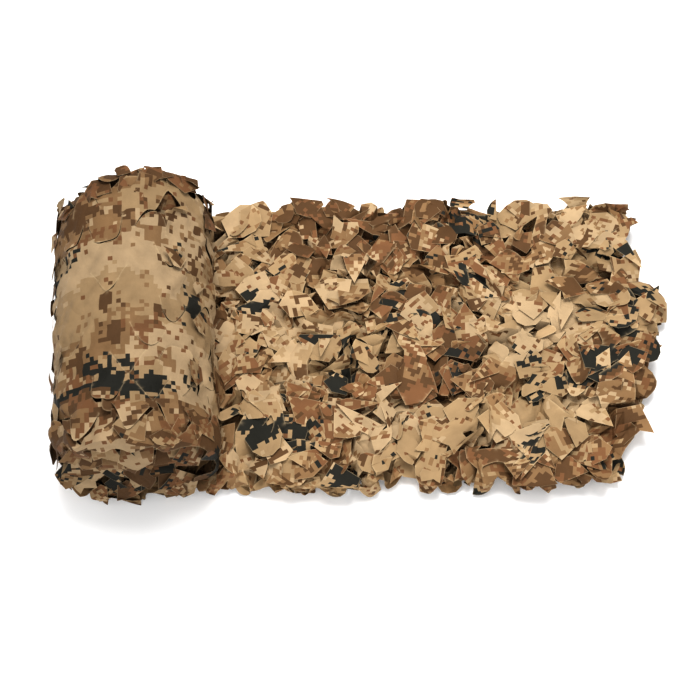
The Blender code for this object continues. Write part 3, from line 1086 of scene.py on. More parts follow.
def print_group(colours: Print) -> bpy.types.NodeTree:
    """Builds the node group that prints the pixel camouflage.

    Args:
        colours: its colours and sizes.

    Returns:
        A group with the inputs Flat and Offset and the output Color.
    """
    group = bpy.data.node_groups.new("pixel_camouflage", "ShaderNodeTree")
    group.interface.new_socket("Flat", in_out="INPUT", socket_type="NodeSocketVector")
    group.interface.new_socket("Offset", in_out="INPUT", socket_type="NodeSocketVector")
    group.interface.new_socket("Color", in_out="OUTPUT", socket_type="NodeSocketColor")
    tree = NodeTree(group)
    given = tree.add("NodeGroupInput")
    moved = tree.vector("ADD", given.outputs["Flat"], given.outputs["Offset"])

    def cells(across: float, along: float) -> NodeSocket:
        """The corners of the cells, so many pixels across and along."""
        return tree.vector("SNAP", moved, (across * colours.pixel, along * colours.pixel, 1.0))

    def draw(cell: NodeSocket, shift: float) -> NodeSocket:
        """A random number for each cell."""
        at = tree.vector("ADD", cell, (shift, shift, shift))
        return tree.add("ShaderNodeTexWhiteNoise", {"Vector": at}, noise_dimensions="3D").outputs["Value"]

    def strays(shift: float, rarity: float, size: float) -> NodeSocket:
        """Rare, strong strays among the pixels."""
        return tree.math("MULTIPLY", tree.math("POWER", draw(pixel, shift), rarity), size)

    def about_middle(value: NodeSocket, size: float) -> NodeSocket:
        """How far a value is from 0.5, times a size."""
        return tree.math("MULTIPLY", tree.math("SUBTRACT", value, 0.5), size)

    def patches(kind: Patches) -> NodeSocket:
        """Adds soft patches with blocky edges.

        Args:
            kind: which patches.

        Returns:
            Their value, from 0 to 1 and low where they are thin.
        """
        moves = {0: pixel, 1: (kind.squeeze, 1.0, 1.0), 2: (kind.shift, 2.0 * kind.shift, kind.shift)}
        at = tree.add("ShaderNodeVectorMath", moves, operation="MULTIPLY_ADD").outputs[0]
        inputs = {"Vector": at, "Scale": kind.scale, "Detail": kind.detail, "Roughness": 0.5}
        value = tree.add("ShaderNodeTexNoise", inputs, noise_dimensions="3D").outputs["Fac"]
        return tree.math("ADD", value, rough)

    def covered(kind: Patches, value: NodeSocket) -> NodeSocket:
        """1 where the patches' value passes their level."""
        return tree.math("GREATER_THAN", value, kind.level)

    pixel = cells(1.0, 1.0)
    wide, tall, block = draw(cells(3.0, 1.0), 0.3), draw(cells(1.0, 2.0), 1.7), draw(cells(2.0, 2.0), 2.9)
    rough = tree.math("ADD", about_middle(wide, 0.05), about_middle(block, 0.05))
    rough = tree.math("ADD", rough, about_middle(tall, 0.04))
    zone = patches(colours.browns)
    dots = tree.math("SUBTRACT", strays(4.1, 8.0, 0.25), strays(6.3, 8.0, 0.25))
    brown = covered(colours.browns, tree.math("ADD", zone, dots))
    near = tree.math("ADD", patches(colours.umbers), about_middle(zone, 0.9))
    umber = covered(colours.umbers, tree.math("ADD", near, strays(8.8, 9.0, 0.2)))
    char = covered(colours.charcoals, tree.math("ADD", patches(colours.charcoals), strays(9.4, 12.0, 0.1)))
    sandy = covered(colours.sandy, patches(colours.sandy))
    color = tree.mix(sandy, (*colours.tan, 1.0), (*colours.sand, 1.0))
    edge = covered(colours.taupes, tree.math("ADD", patches(colours.taupes), about_middle(zone, 1.6)))
    color = tree.mix(edge, color, (*colours.taupe, 1.0))
    deep = covered(colours.deep_browns, patches(colours.deep_browns))
    color = tree.mix(brown, color, tree.mix(deep, (*colours.brown, 1.0), (*colours.taupe, 1.0)))
    color = tree.mix(umber, color, (*colours.umber, 1.0))
    color = tree.mix(char, color, (*colours.charcoal, 1.0))
    tree.add("NodeGroupOutput", {"Color": color})
    return group


@dataclass(frozen=True)
class Weave:
    """The cloth's own surface: how many threads, crumples, shaded patches and folds go in a metre."""

    threads: float = 320.0
    crumples: float = 90.0
    patches: float = 35.0
    folds: float = 22.0
    thread_height: float = 0.06  # as a share of the crumple's
    fold_height: float = 6.0  # the same


def cloth_group(weave: Weave) -> bpy.types.NodeTree:
    """Builds the node group of the cloth's own surface: its weave, its fine crumple and its crisp folds.

    Args:
        weave: their sizes.

    Returns:
        A group with the input Flat and the outputs Height and Shade.
    """
    group = bpy.data.node_groups.new("crumpled_weave", "ShaderNodeTree")
    group.interface.new_socket("Flat", in_out="INPUT", socket_type="NodeSocketVector")
    group.interface.new_socket("Height", in_out="OUTPUT", socket_type="NodeSocketFloat")
    group.interface.new_socket("Shade", in_out="OUTPUT", socket_type="NodeSocketFloat")
    tree = NodeTree(group)
    flat = tree.add("NodeGroupInput").outputs["Flat"]
    warp, weft = (tree.add("ShaderNodeTexWave", {"Vector": flat, "Scale": weave.threads, "Distortion": 0.6},
                           bands_direction=way).outputs["Fac"] for way in "XY")
    threads = tree.math("MULTIPLY", tree.math("ADD", warp, weft), weave.thread_height)
    height = tree.math("ADD", tree.noise(flat, weave.crumples, 3.0, Roughness=0.6), threads)
    folds = tree.math("ABSOLUTE", tree.math("SUBTRACT", tree.noise(flat, weave.folds, 1.0), 0.5))
    height = tree.math("ADD", height, tree.math("MULTIPLY", folds, weave.fold_height))
    tree.add("NodeGroupOutput", {"Height": height, "Shade": tree.noise(flat, weave.patches, 4.0)})
    return group


@dataclass(frozen=True)
class NetFinish:
    """Printed polyester: dull and faintly crumpled, its underside paler than its printed side but darkened
    and warmed so that it also paints the shade in the gaps between layers, and its cut edges painted with a
    pale highlight.
    """

    name: str
    offset: Triple
    roughness: float = 0.66
    gloss: float = 0.12
    variety: float = 0.1  # how much brighter or duller one leaf is than the next
    crumple: float = 0.0012
    bump: float = 0.6
    tone: float = 1.0  # how bright the cloth is all over; below 1 it paints the piece darker than the same cloth elsewhere, as painted shade
    uneven: float = 0.36  # how much its brightness varies from place to place
    # the cloth's reverse, darkened and warmed to paint the shade that falls in the gaps between layers
    underside_and_gap_shade: Triple = (0.33, 0.21, 0.1)
    back_share: float = 0.4  # share of the underside's colour, which also paints the shade in the gaps, on faces seen from behind, over the print
    # a pale highlight painted along the cut edges, as if they caught the light
    painted_edge_highlight: Triple = (0.6, 0.46, 0.28)
    highlight_share: float = 0.45  # share of the painted highlight's colour on the cut edges
    highlight_fall: float = 5.0  # how quickly the painted highlight fades into the cloth

    def material(self, printed: bpy.types.NodeTree, woven: bpy.types.NodeTree) -> Material:
        """Builds the material.

        Args:
            printed: the pixel camouflage group.
            woven: the weave and crumple group.

        Returns:
            The material, on the piece's own flat UV map.
        """
        material = bpy.data.materials.new(self.name)
        material.use_nodes = True
        tree = NodeTree(material.node_tree)
        shader = material.node_tree.nodes["Principled BSDF"]
        flat = tree.add("ShaderNodeUVMap", uv_map="flat").outputs["UV"]
        color = tree.add("ShaderNodeGroup", {"Flat": flat, "Offset": self.offset}, node_tree=printed)
        surface = tree.add("ShaderNodeGroup", {"Flat": flat}, node_tree=woven)
        # Faces seen from behind take the underside's colour: partly the cloth's own reverse, partly painted
        # shade for the gaps.
        back = tree.add("ShaderNodeNewGeometry").outputs["Backfacing"]
        back = tree.math("MULTIPLY", back, self.back_share)
        base = tree.mix(back, color.outputs["Color"], (*self.underside_and_gap_shade, 1.0))
        # Painted highlight: the cut edges, marked by the rim and cut attributes, are painted pale as if they
        # caught the light.
        rim = tree.add("ShaderNodeAttribute", attribute_name="rim").outputs["Fac"]
        cut = tree.add("ShaderNodeAttribute", attribute_name="cut").outputs["Fac"]
        rim = tree.math("MAXIMUM", rim, tree.math("POWER", cut, self.highlight_fall))
        base = tree.mix(tree.math("MULTIPLY", rim, self.highlight_share), base, (*self.painted_edge_highlight, 1.0))
        # Brightness varies at random from place to place and from leaf to leaf; tone scales it all, and below
        # 1 it is painted shade.
        shade = tree.math("MULTIPLY", surface.outputs["Shade"], self.uneven)
        shade = tree.math("MULTIPLY", tree.math("ADD", shade, 1.0 - 0.5 * self.uneven), self.tone)
        own = tree.add("ShaderNodeAttribute", attribute_name="tone").outputs["Fac"]
        shade = tree.math("MULTIPLY", shade, tree.math("ADD", tree.math("MULTIPLY", own, self.variety), 1.0))
        base = tree.add("ShaderNodeMix", {"Factor": 1.0, "A": base, "B": shade}, data_type="RGBA",
                        blend_type="MULTIPLY").outputs["Result"]
        bump = tree.add("ShaderNodeBump", {"Height": surface.outputs["Height"], "Distance": self.crumple,
                                           "Strength": self.bump})
        material.node_tree.links.new(base, shader.inputs["Base Color"])
        material.node_tree.links.new(bump.outputs["Normal"], shader.inputs["Normal"])
        shader.inputs["Roughness"].default_value = self.roughness
        shader.inputs["Specular IOR Level"].default_value = self.gloss
        return material


# ---------------- free leaves
class TipShape(Enum):
    """A free leaf's outline from one end of its hinge to the other, as LeafShape's rows."""

    KITE = ((-0.55, 0.0), (-0.95, 0.45), (-0.3, 1.0), (0.5, 0.72), (0.88, 0.14), (0.45, 0.0))
    SPEAR = ((-0.5, 0.0), (-0.76, 0.3), (-0.1, 1.15), (0.36, 0.6), (0.62, 0.0))
    SQUARE = ((-0.7, 0.0), (-0.88, 0.74), (-0.2, 0.92), (0.76, 0.8), (0.7, 0.0))
    HOOK = ((-0.6, 0.0), (-1.0, 0.62), (-0.76, 1.0), (0.15, 0.72), (0.72, 0.88), (0.6, 0.0))
    NEEDLE = ((-0.34, 0.0), (-0.46, 0.34), (-0.06, 1.36), (0.26, 0.52), (0.42, 0.0))
    FAN = ((-0.45, 0.0), (-1.05, 0.74), (-0.15, 1.0), (1.0, 0.84), (0.5, 0.0))
    WEDGE = ((-0.55, 0.0), (-0.85, 0.22), (0.2, 1.22), (0.95, 0.46), (0.55, 0.0))
    ROUND = ((-0.62, 0.0), (-0.9, 0.34), (-0.8, 0.7), (-0.46, 0.95), (0.0, 1.02),
             (0.46, 0.92), (0.8, 0.62), (0.72, 0.0))


@dataclass(frozen=True)
class FreeLeaf:
    """One leaf that has come right out of its slit, flat but for a soft curl and one fold."""

    shape: TipShape
    mirrored: bool
    curl: float  # how far its tip turns up, as a share of its height
    fold: float  # slope past the fold
    fold_turn: float  # the fold's turn from the hinge's line, in radians
    half_width: float = 0.025
    height: float = 0.046
    rim: float = 0.0008  # width of the band along the cut edge that is painted with a pale highlight
    fold_at: float = 0.45  # how far up the leaf its fold is
    step: float = 0.0085  # mesh size

    def outline(self) -> Array:
        """Works out the outline.

        Returns:
            (n, 2) points, clockwise from above.
        """
        corners = np.array(self.shape.value) * (self.half_width, self.height)
        if self.mirrored:
            corners = corners[::-1] * (-1.0, 1.0)
        points = []
        for first, second in zip(corners, np.roll(corners, -1, axis=0)):
            steps = max(1, round(float(np.linalg.norm(second - first)) / self.step))
            points += [first + (second - first) * step / steps for step in range(steps)]
        return np.array(points)

    def height_at(self, flat: Array) -> Array:
        """Works out how far the leaf stands off its flat place.

        Args:
            flat: (n, 2) flat points.

        Returns:
            (n,) heights.
        """
        share = np.maximum(flat[:, 1], 0.0) / self.height
        across = np.array([-math.sin(self.fold_turn), math.cos(self.fold_turn)])
        past = (flat - (0.0, self.fold_at * self.height)) @ across
        return self.curl * self.height * share**2 + self.fold * np.maximum(0.0, past)

    def mesh(self) -> Mesh:
        """Builds the leaf, with its flat map, and its cut edge marked for a painted pale highlight.

        Returns:
            The mesh, its hinge along X and its tip towards +Y.
        """
        outer = self.outline()
        count = len(outer)
        along = np.roll(outer, -1, axis=0) - np.roll(outer, 1, axis=0)
        along /= np.linalg.norm(along, axis=1)[:, None]
        inner = outer + self.rim * np.stack([along[:, 1], -along[:, 0]], axis=1)
        lattice = [(x, y) for y in np.arange(self.step, 1.2 * self.height, self.step)
                   for x in np.arange(-self.half_width, self.half_width, self.step)]
        filling = np.array(lattice)
        gaps = np.linalg.norm(filling[:, None] - inner[None], axis=2).min(axis=1)
        filling = filling[inside(inner, filling) & (gaps > 0.6 * self.step)]
        points = [Vector(point) for point in np.concatenate([inner, filling])]
        edges = [(index, (index + 1) % count) for index in range(count)]
        found, _, faces, _, _, _ = delaunay_2d_cdt(points, edges, [], 1, 1e-6, False)
        flat = np.concatenate([outer, np.array([point[:] for point in found])])
        faces = count + np.array([face[:] for face in faces])
        faces = faces[inside(inner, flat[faces].mean(axis=1))]
        bm = bmesh.new()
        # rim marks the cut edge, which the finish paints with a pale highlight
        rim = bm.verts.layers.float.new("rim")
        verts = [bm.verts.new((*point, z)) for point, z in zip(flat, self.height_at(flat))]
        for index, vert in enumerate(verts):
            vert[rim] = 1.0 if index < count else 0.0
        for index in range(count):
            after = (index + 1) % count
            bm.faces.new([verts[after], verts[index], verts[count + index], verts[count + after]])
        for face in faces:
            bm.faces.new([verts[index] for index in face])
        bm.normal_update()
        bmesh.ops.reverse_faces(bm, faces=[face for face in bm.faces if face.normal.z < 0.0])
        layer = bm.loops.layers.uv.new("flat")
        for face in bm.faces:
            for loop in face.loops:
                loop[layer].uv = loop.vert.co.xy
        return meshed(bm, "free_leaf")


@dataclass
class LeafBed:
    """A smooth surface that free leaves stand on, with what steers them at each of its points."""

    places: Array  # (rows, columns, 3)
    flat: Array  # (rows, columns, 2) where each point is on the cloth as cut
    way: Array  # (rows, columns, 3) where the tips point
    closed: bool = False  # whether the last column meets the first

    def mesh(self) -> Mesh:
        """Builds the surface.

        Returns:
            Its mesh, with the steering as point attributes.
        """
        rows, columns = self.flat.shape[:2]
        last = columns if self.closed else columns - 1
        faces = [(row * columns + column, row * columns + (column + 1) % columns,
                  (row + 1) * columns + (column + 1) % columns, (row + 1) * columns + column)
                 for row in range(rows - 1) for column in range(last)]
        mesh = bpy.data.meshes.new("leaf_bed")
        mesh.from_pydata([tuple(place) for place in self.places.reshape(-1, 3)], [], faces)
        flat = np.concatenate([self.flat.reshape(-1, 2), np.zeros((rows * columns, 1))], axis=1)
        for name, values in (("bed_flat", flat), ("way", np.ascontiguousarray(self.way))):
            mesh.attributes.new(name, "FLOAT_VECTOR", "POINT").data.foreach_set("vector", values.reshape(-1))
        return mesh


@dataclass
class LeafScatter:
    """The free leaves of one bed, set out, turned and sized by Geometry Nodes."""

    name: str
    density: float  # most leaves in a square metre
    gap: float  # least distance between two
    seed: int
    sizes: Pair = (0.7, 1.4)
    tilts: Pair = (4.0, 24.0)  # degrees that a leaf stands off the bed
    spin: float = 180.0  # degrees that it may turn from the bed's way
    rise: float = 0.003  # most that its hinge stands off the bed
    stray: float = 0.03  # how far aside of the bed's print a leaf may take its own
    shapes: int = 22  # how many different leaves there are
    curls: Pair = (-0.05, 0.16)  # least and most of FreeLeaf's curl
    folds_up: Pair = (0.15, 0.55)  # the same of its fold, for those that fold up
    folds_down: Pair = (-0.35, -0.1)  # and for those that fold down
    fold_turn: float = 0.9  # radians either way of straight across the leaf
    sharp: float = math.radians(30.0)  # folds past this are shaded as creases

    def leaves(self) -> bpy.types.Collection:
        """Draws the leaves to choose from.

        Returns:
            A hidden collection of them.
        """
        draws = random.Random(self.seed)
        collection = bpy.data.collections.new("free_leaves")
        kinds = [kind for kind in TipShape for _ in range(1 if kind is TipShape.ROUND else 3)]
        for number in range(self.shapes):
            mirrored, curl = draws.random() < 0.5, draws.uniform(*self.curls)
            fold = draws.choice((0.0, draws.uniform(*self.folds_up), draws.uniform(*self.folds_down)))
            turn = draws.uniform(-self.fold_turn, self.fold_turn)
            leaf = FreeLeaf(kinds[number % len(kinds)], mirrored, curl, fold, turn)
            collection.objects.link(bpy.data.objects.new(f"free_leaf_{number:02d}", leaf.mesh()))
        return collection

    def values(self, kinds: bpy.types.Collection, material: Material) -> dict[str, tuple]:
        """Lists the tree's inputs.

        Args:
            kinds: the leaves to choose from.
            material: their finish.

        Returns:
            Each input's name, with its kind of socket and its value.
        """
        least, most, spin = (math.radians(degrees) for degrees in (*self.tilts, self.spin))
        floats = {
            "Density": self.density, "Gap": self.gap, "Least Size": self.sizes[0], "Most Size": self.sizes[1],
            "Least Tilt": least, "Most Tilt": most, "Spin": spin, "Rise": self.rise, "Stray": self.stray}
        return {"Leaves": ("Collection", kinds), "Material": ("Material", material),
                "Seed": ("Int", self.seed), "Shapes": ("Int", self.shapes),
                **{name: ("Float", value) for name, value in floats.items()}}

    @staticmethod
    def tree(kinds: dict[str, str]) -> bpy.types.NodeTree:
        """Builds the node tree.

        Args:
            kinds: each input's name and kind of socket.

        Returns:
            A tree from a bed to the realized leaves on it.
        """
        group = bpy.data.node_groups.new("leaf_scatter", "GeometryNodeTree")
        for name, kind in {"Bed": "Geometry", **kinds}.items():
            group.interface.new_socket(name, in_out="INPUT", socket_type="NodeSocket" + kind)
        group.interface.new_socket("Leaves", in_out="OUTPUT", socket_type="NodeSocketGeometry")
        tree = NodeTree(group)
        given = tree.add("NodeGroupInput").outputs

        def drawn(least: object, most: object, extra: int) -> NodeSocket:
            """A random number for each leaf."""
            seed = tree.math("ADD", given["Seed"], float(extra))
            return tree.add("FunctionNodeRandomValue", {2: least, 3: most, "Seed": seed}).outputs[1]

        def either_way(name: str, extra: int) -> NodeSocket:
            """A random number for each leaf, up to an input's value either way."""
            return drawn(tree.math("MULTIPLY", given[name], -1.0), given[name], extra)

        def named(name: str, kind: str = "FLOAT_VECTOR") -> NodeSocket:
            """A named attribute's value."""
            node = tree.add("GeometryNodeInputNamedAttribute", {"Name": name}, data_type=kind)
            return next(socket for socket in node.outputs if socket.enabled)

        def stored(geometry: object, name: str, value: object, **kind: str) -> NodeSocket:
            """A geometry with a named attribute stored on it."""
            inputs = {"Geometry": geometry, "Name": name, "Value": value}
            return tree.add("GeometryNodeStoreNamedAttribute", inputs, **kind).outputs[0]

        def turned(rotation: object, by: NodeSocket) -> NodeSocket:
            """A rotation turned about its own axes."""
            inputs = {"Rotation": rotation, "Rotate By": by}
            return tree.add("FunctionNodeRotateRotation", inputs, rotation_space="LOCAL").outputs[0]

        spots = tree.add("GeometryNodeDistributePointsOnFaces", {
            "Mesh": given["Bed"], "Distance Min": given["Gap"], "Density Max": given["Density"],
            "Seed": given["Seed"]}, distribute_method="POISSON").outputs
        upright = tree.add("FunctionNodeAlignRotationToVector", {"Vector": spots["Normal"]}, axis="Z")
        steered = tree.add("FunctionNodeAlignRotationToVector", {
            "Rotation": upright.outputs[0], "Vector": named("way")}, axis="Y", pivot_axis="Z").outputs[0]
        tilt = tree.add("ShaderNodeCombineXYZ", {"X": drawn(given["Least Tilt"], given["Most Tilt"], 2)})
        spin = tree.add("ShaderNodeCombineXYZ", {"Z": either_way("Spin", 3)})
        tilted = turned(turned(steered, spin.outputs[0]), tilt.outputs[0])
        size = drawn(given["Least Size"], given["Most Size"], 4)
        aside = tree.add("ShaderNodeCombineXYZ", {"X": either_way("Stray", 5), "Y": either_way("Stray", 6)})
        aside = tree.vector("ADD", named("bed_flat"), aside.outputs[0])
        points = stored(spots["Points"], "leaf_size", size, data_type="FLOAT", domain="POINT")
        points = stored(points, "bed_flat", aside, data_type="FLOAT_VECTOR", domain="POINT")
        points = stored(points, "tone", drawn(-1.0, 1.0, 7), data_type="FLOAT", domain="POINT")
        raised = tree.scaled(spots["Normal"], drawn(0.0, given["Rise"], 1))
        points = tree.add("GeometryNodeSetPosition", {"Geometry": points, "Offset": raised}).outputs[0]
        shapes = tree.add("GeometryNodeCollectionInfo", {
            "Collection": given["Leaves"], "Separate Children": True, "Reset Children": True}).outputs[0]
        last = tree.math("SUBTRACT", given["Shapes"], 1.0)
        pick = tree.add("FunctionNodeRandomValue", {4: 0, 5: last, "Seed": given["Seed"]}, data_type="INT")
        leaves = tree.add("GeometryNodeInstanceOnPoints", {
            "Points": points, "Instance": shapes, "Pick Instance": True, "Instance Index": pick.outputs[2],
            "Rotation": tilted, "Scale": named("leaf_size", "FLOAT")}).outputs[0]
        whole = tree.add("GeometryNodeRealizeInstances", {"Geometry": leaves}).outputs[0]
        flat = tree.vector("ADD", tree.scaled(named("flat"), named("leaf_size", "FLOAT")), named("bed_flat"))
        mapped = stored(whole, "flat", flat, data_type="FLOAT2", domain="CORNER")
        finish = tree.add("GeometryNodeSetMaterial", {"Geometry": mapped, "Material": given["Material"]})
        tree.add("NodeGroupOutput", {0: finish.outputs[0]})
        return group

    def build(self, bed: LeafBed, material: Material) -> Object:
        """Sets the leaves out on their bed as one plain mesh.

        Args:
            bed: what they stand on.
            material: their finish.

        Returns:
            The finished leaves.
        """
        kinds = self.leaves()
        values = self.values(kinds, material)
        draft = link("leaf_bed", bed.mesh())
        modifier = draft.modifiers.new("scatter", "NODES")
        modifier.node_group = self.tree({name: kind for name, (kind, _) in values.items()})
        for socket in modifier.node_group.interface.items_tree:
            if socket.in_out == "INPUT" and socket.name in values:
                modifier[socket.identifier] = values[socket.name][1]
        graph = bpy.context.evaluated_depsgraph_get()
        mesh = bpy.data.meshes.new_from_object(draft.evaluated_get(graph))
        bpy.data.objects.remove(draft)
        for obj in list(kinds.objects):
            bpy.data.objects.remove(obj)
        bpy.data.collections.remove(kinds)
        for name in ("bed_flat", "way", "leaf_size"):
            if name in mesh.attributes:
                mesh.attributes.remove(mesh.attributes[name])
        mesh.name = self.name
        mesh.shade_smooth()
        mesh.set_sharp_from_angle(angle=self.sharp)
        return link(self.name, mesh)


# ---------------- sub-assemblies
@dataclass
class NetPiece:
    """One sheet of the net as it shows: a settled cut cloth with its finish."""

    name: str
    crowding: float  # size as it lies, over the size it is cut at
    sharp: float = math.radians(35.0)  # folds past this are shaded as creases
    crease_from: float = 0.2  # radians of fold from which an edge is kept crisp
    crease_over: float = 0.5  # it is wholly crisp so much further on
    seed: int = 21  # of the leaves' tones

    def dress(self, cloth: CutCloth, places: Array, material: Material) -> Object:
        """Makes the finished object: settled, given its flat map, refined once and with its material.

        Args:
            cloth: the cut cloth.
            places: (n, 3) settled places.
            material: its finish.

        Returns:
            The object, at the origin.
        """
        mesh = cloth.mesh
        move(mesh, places)
        loops = np.empty(len(mesh.loops), int)
        mesh.loops.foreach_get("vertex_index", loops)
        flat = mesh.uv_layers.new(name="flat")
        flat.data.foreach_set("uv", (cloth.flat[loops] / self.crowding).reshape(-1))
        tones = np.append(np.random.default_rng(self.seed).uniform(-1.0, 1.0, len(cloth.cuts)), 0.0)
        mesh.attributes.new("tone", "FLOAT", "POINT").data.foreach_set("value", tones[cloth.leaf_of])
        mesh.materials.append(material)
        mesh.shade_smooth()
        mesh.update()
        draft = link("draft", mesh)
        refine = draft.modifiers.new("refine", "SUBSURF")
        refine.levels = refine.render_levels = 1
        self.crease(mesh)
        graph = bpy.context.evaluated_depsgraph_get()
        finished = bpy.data.meshes.new_from_object(draft.evaluated_get(graph))
        bpy.data.objects.remove(draft)
        finished.name = self.name
        finished.set_sharp_from_angle(angle=self.sharp)
        self.mark_highlit_edges(finished)
        return link(self.name, finished)

    @staticmethod
    def mark_highlit_edges(mesh: Mesh) -> None:
        """Marks the points along the cloth's cut edges, which its finish paints with a pale highlight.

        Args:
            mesh: the finished cloth.
        """
        bm = bmesh.new()
        bm.from_mesh(mesh)
        cut = np.array([float(vert.is_boundary) for vert in bm.verts])
        bm.free()
        mesh.attributes.new("cut", "FLOAT", "POINT").data.foreach_set("value", cut)

    def crease(self, mesh: Mesh) -> None:
        """Creases the edges that are folded sharply, so that they stay crisp.

        Args:
            mesh: the settled cloth, before it is refined.
        """
        bm = bmesh.new()
        bm.from_mesh(mesh)
        layer = bm.edges.layers.float.new("crease_edge")
        for edge in bm.edges:
            if len(edge.link_faces) == 2:
                past = edge.calc_face_angle() - self.crease_from
                edge[layer] = float(np.clip(past / self.crease_over, 0.0, 1.0))
        bm.to_mesh(mesh)
        bm.free()


@dataclass
class LooseEnd:
    """The loose end of the net: one cloth folded in three, its leaves lifting off the top layer."""

    bed: FoldedBed
    edge: float = 0.011  # mesh size
    crowding: float = 0.65  # size as it lies, over the size it is cut at
    lower_growth: float = 0.18  # growth of the layers below
    frames: int = 36
    seed: int = 3
    upper_from: float = 1.55  # layers above the lowest one, past which the cloth is the top layer's
    swells: Pair = (0.004, 0.0012)  # height of the top layer's swell and of the others'
    swell_scales: Pair = (11.0, 30.0)  # of its long and short waves, in a metre
    short_swell: float = 0.4  # height of the short waves, as a share of the long ones'
    puff: float = 0.003  # how much higher the top layer lies once it is out from under the roll
    puff_from: Pair = (0.02, 0.05)  # where along u that starts, and its run
    held: float = 0.012  # cloth nearer to its start than this is held
    tied: float = 0.6  # share of the joints between leaves that keep their places
    rim_step: float = 0.055  # from tie to tie along the folds and the sides
    end_step: float = 0.07  # the same along the free end
    knee: float = 0.034  # leaves above this are pressed down
    top: float = 0.056  # no leaf stands higher
    sides: Pair = (-0.25, 0.256)  # the Y that no leaf passes, near and far
    end: float = 0.486  # the X that none passes
    overhang: float = 0.022  # over which the leaves at the edges are eased back
    crown_step: float = 0.018  # mesh size of the bed of the free leaves
    crown_level: float = 70.0  # per cent of the cloth's points that lie below that bed
    crown_reach: float = 0.018  # how far round each of its points the cloth counts
    fringe: float = 0.05  # width of the strips at the edges where the tips point outwards
    turning: float = 6.0  # how far the tips elsewhere turn from place to place
    turn_scale: float = 9.0  # how often, in a metre
    free: LeafScatter = field(
        default_factory=lambda: LeafScatter("loose_leaves", 1300.0, 0.024, 5, tilts=(3.0, 38.0), spin=120.0))

    def build(self, walls: list[Object], material: Material) -> tuple[Object, Object]:
        """Cuts, lays, crowds and dresses the cloth.

        Args:
            walls: the objects that it lies on and against.
            material: its finish.

        Returns:
            The finished sheet, and its free leaves.
        """
        pattern = FlatPattern(self.bed.length, self.bed.width, self.edge, self.crowding, self.seed)
        cloth = pattern.cut(self.bed)
        places = cloth.laid_on(self.bed)
        upper = places[:, 2] > FIRST_HEIGHT + self.upper_from * LAID_SPACING
        top_swell, low_swell = self.swells
        long, short = self.swell_scales
        for index, place in enumerate(places):
            wave = noise(Vector(place) * long) + self.short_swell * noise(Vector(place) * short)
            places[index, 2] += (top_swell if upper[index] else low_swell) * wave
        places[upper, 2] += self.puff * soft_step(cloth.flat[upper, 0], *self.puff_from)
        held = [int(index) for index in np.flatnonzero(cloth.flat[:, 0] < self.held)]
        pins = held + lattice_pins(cloth, pattern, self.tied) + self.rim_pins(cloth)
        LOG.info("loose end: %d leaves, %d points, %d ties", len(cloth.cuts), len(cloth.flat), len(pins))
        calm = (cloth.flat[:, 1] > self.bed.layer + self.bed.fold).astype(float)
        settling = Settling(frames=self.frames, growth=1.0 / self.crowding - 1.0,
                            calm_growth=self.lower_growth)
        places = settling.run(cloth, places, pins, calm, walls)
        places = self.pressed(places)
        leaves = self.free.build(self.crown(cloth, places), material)
        move(leaves.data, self.pressed(coordinates(leaves.data)))
        return NetPiece("loose_end", self.crowding).dress(cloth, places, material), leaves

    def crown(self, cloth: CutCloth, places: Array) -> LeafBed:
        """Lays a smooth surface over the top layer for the leaves that stand free.

        Args:
            cloth: the cut cloth.
            places: (n, 3) its settled places.

        Returns:
            The bed, on which the tips at the sides point outwards.
        """
        top = np.flatnonzero(cloth.flat[:, 1] < self.bed.layer)
        tree = KDTree(len(top))
        for index in top:
            tree.insert((places[index, 0], places[index, 1], 0.0), index)
        tree.balance()
        along = np.arange(0.03, self.bed.length - 0.004, self.crown_step)
        across = np.arange(0.006, self.bed.layer - 0.002, self.crown_step)
        laid, way = np.zeros((len(along), len(across), 3)), np.zeros((len(along), len(across), 3))
        shift = Vector((7.0, 0.0, 0.0))  # to another part of the noise
        for row, u in enumerate(along):
            for column, v in enumerate(across):
                place = self.bed.place(u, v)
                within = tree.find_range((place[0], place[1], 0.0), self.crown_reach)
                near = [found[1] for found in within]
                place[2] = np.percentile(places[near, 2], self.crown_level) if near else place[2]
                laid[row, column] = place
                gaps = np.array([v, self.bed.layer - v, self.bed.length - u])
                pull = np.clip(1.0 - gaps / self.fringe, 0.0, 1.0)
                turn = self.turning * noise(Vector(place) * self.turn_scale + shift)
                free = np.array([math.cos(turn), math.sin(turn), 0.0])
                way[row, column] = 0.1 * free + (pull[2], pull[0] - pull[1], 0.0)
        flat = np.stack(np.meshgrid(along, across, indexing="ij"), axis=2) / self.crowding
        return LeafBed(laid, flat, way)

    def rim_pins(self, cloth: CutCloth) -> list[int]:
        """Finds ties along the folds and the edges, which keep the outline.

        Args:
            cloth: the cut cloth.

        Returns:
            The numbers of its points nearest to them.
        """
        run = self.bed.layer + self.bed.fold
        lines = (0.004, self.bed.layer, run, run + self.bed.layer, 2.0 * run, self.bed.width - 0.004)
        ties = [(u, v) for v in lines for u in np.arange(0.03, self.bed.length, self.rim_step)]
        ties += [(self.bed.length - 0.02, v) for v in np.arange(0.02, self.bed.width, self.end_step)]
        return [int(np.linalg.norm(cloth.flat - tie, axis=1).argmin()) for tie in ties]

    def pressed(self, places: Array) -> Array:
        """Eases what stands too high, too low or too far out back within the net's reach.

        Args:
            places: (n, 3) places.

        Returns:
            (n, 3) eased places.
        """
        pressed = places.copy()
        pressed[:, 2] = np.maximum(eased(pressed[:, 2], self.knee, self.top - self.knee), FLOOR_GAP)
        near, far = self.sides
        pressed[:, 1] = eased(pressed[:, 1], far - self.overhang, self.overhang)
        pressed[:, 1] = -eased(-pressed[:, 1], -near - self.overhang, self.overhang)
        pressed[:, 0] = eased(pressed[:, 0], self.end - self.overhang, self.overhang)
        return pressed


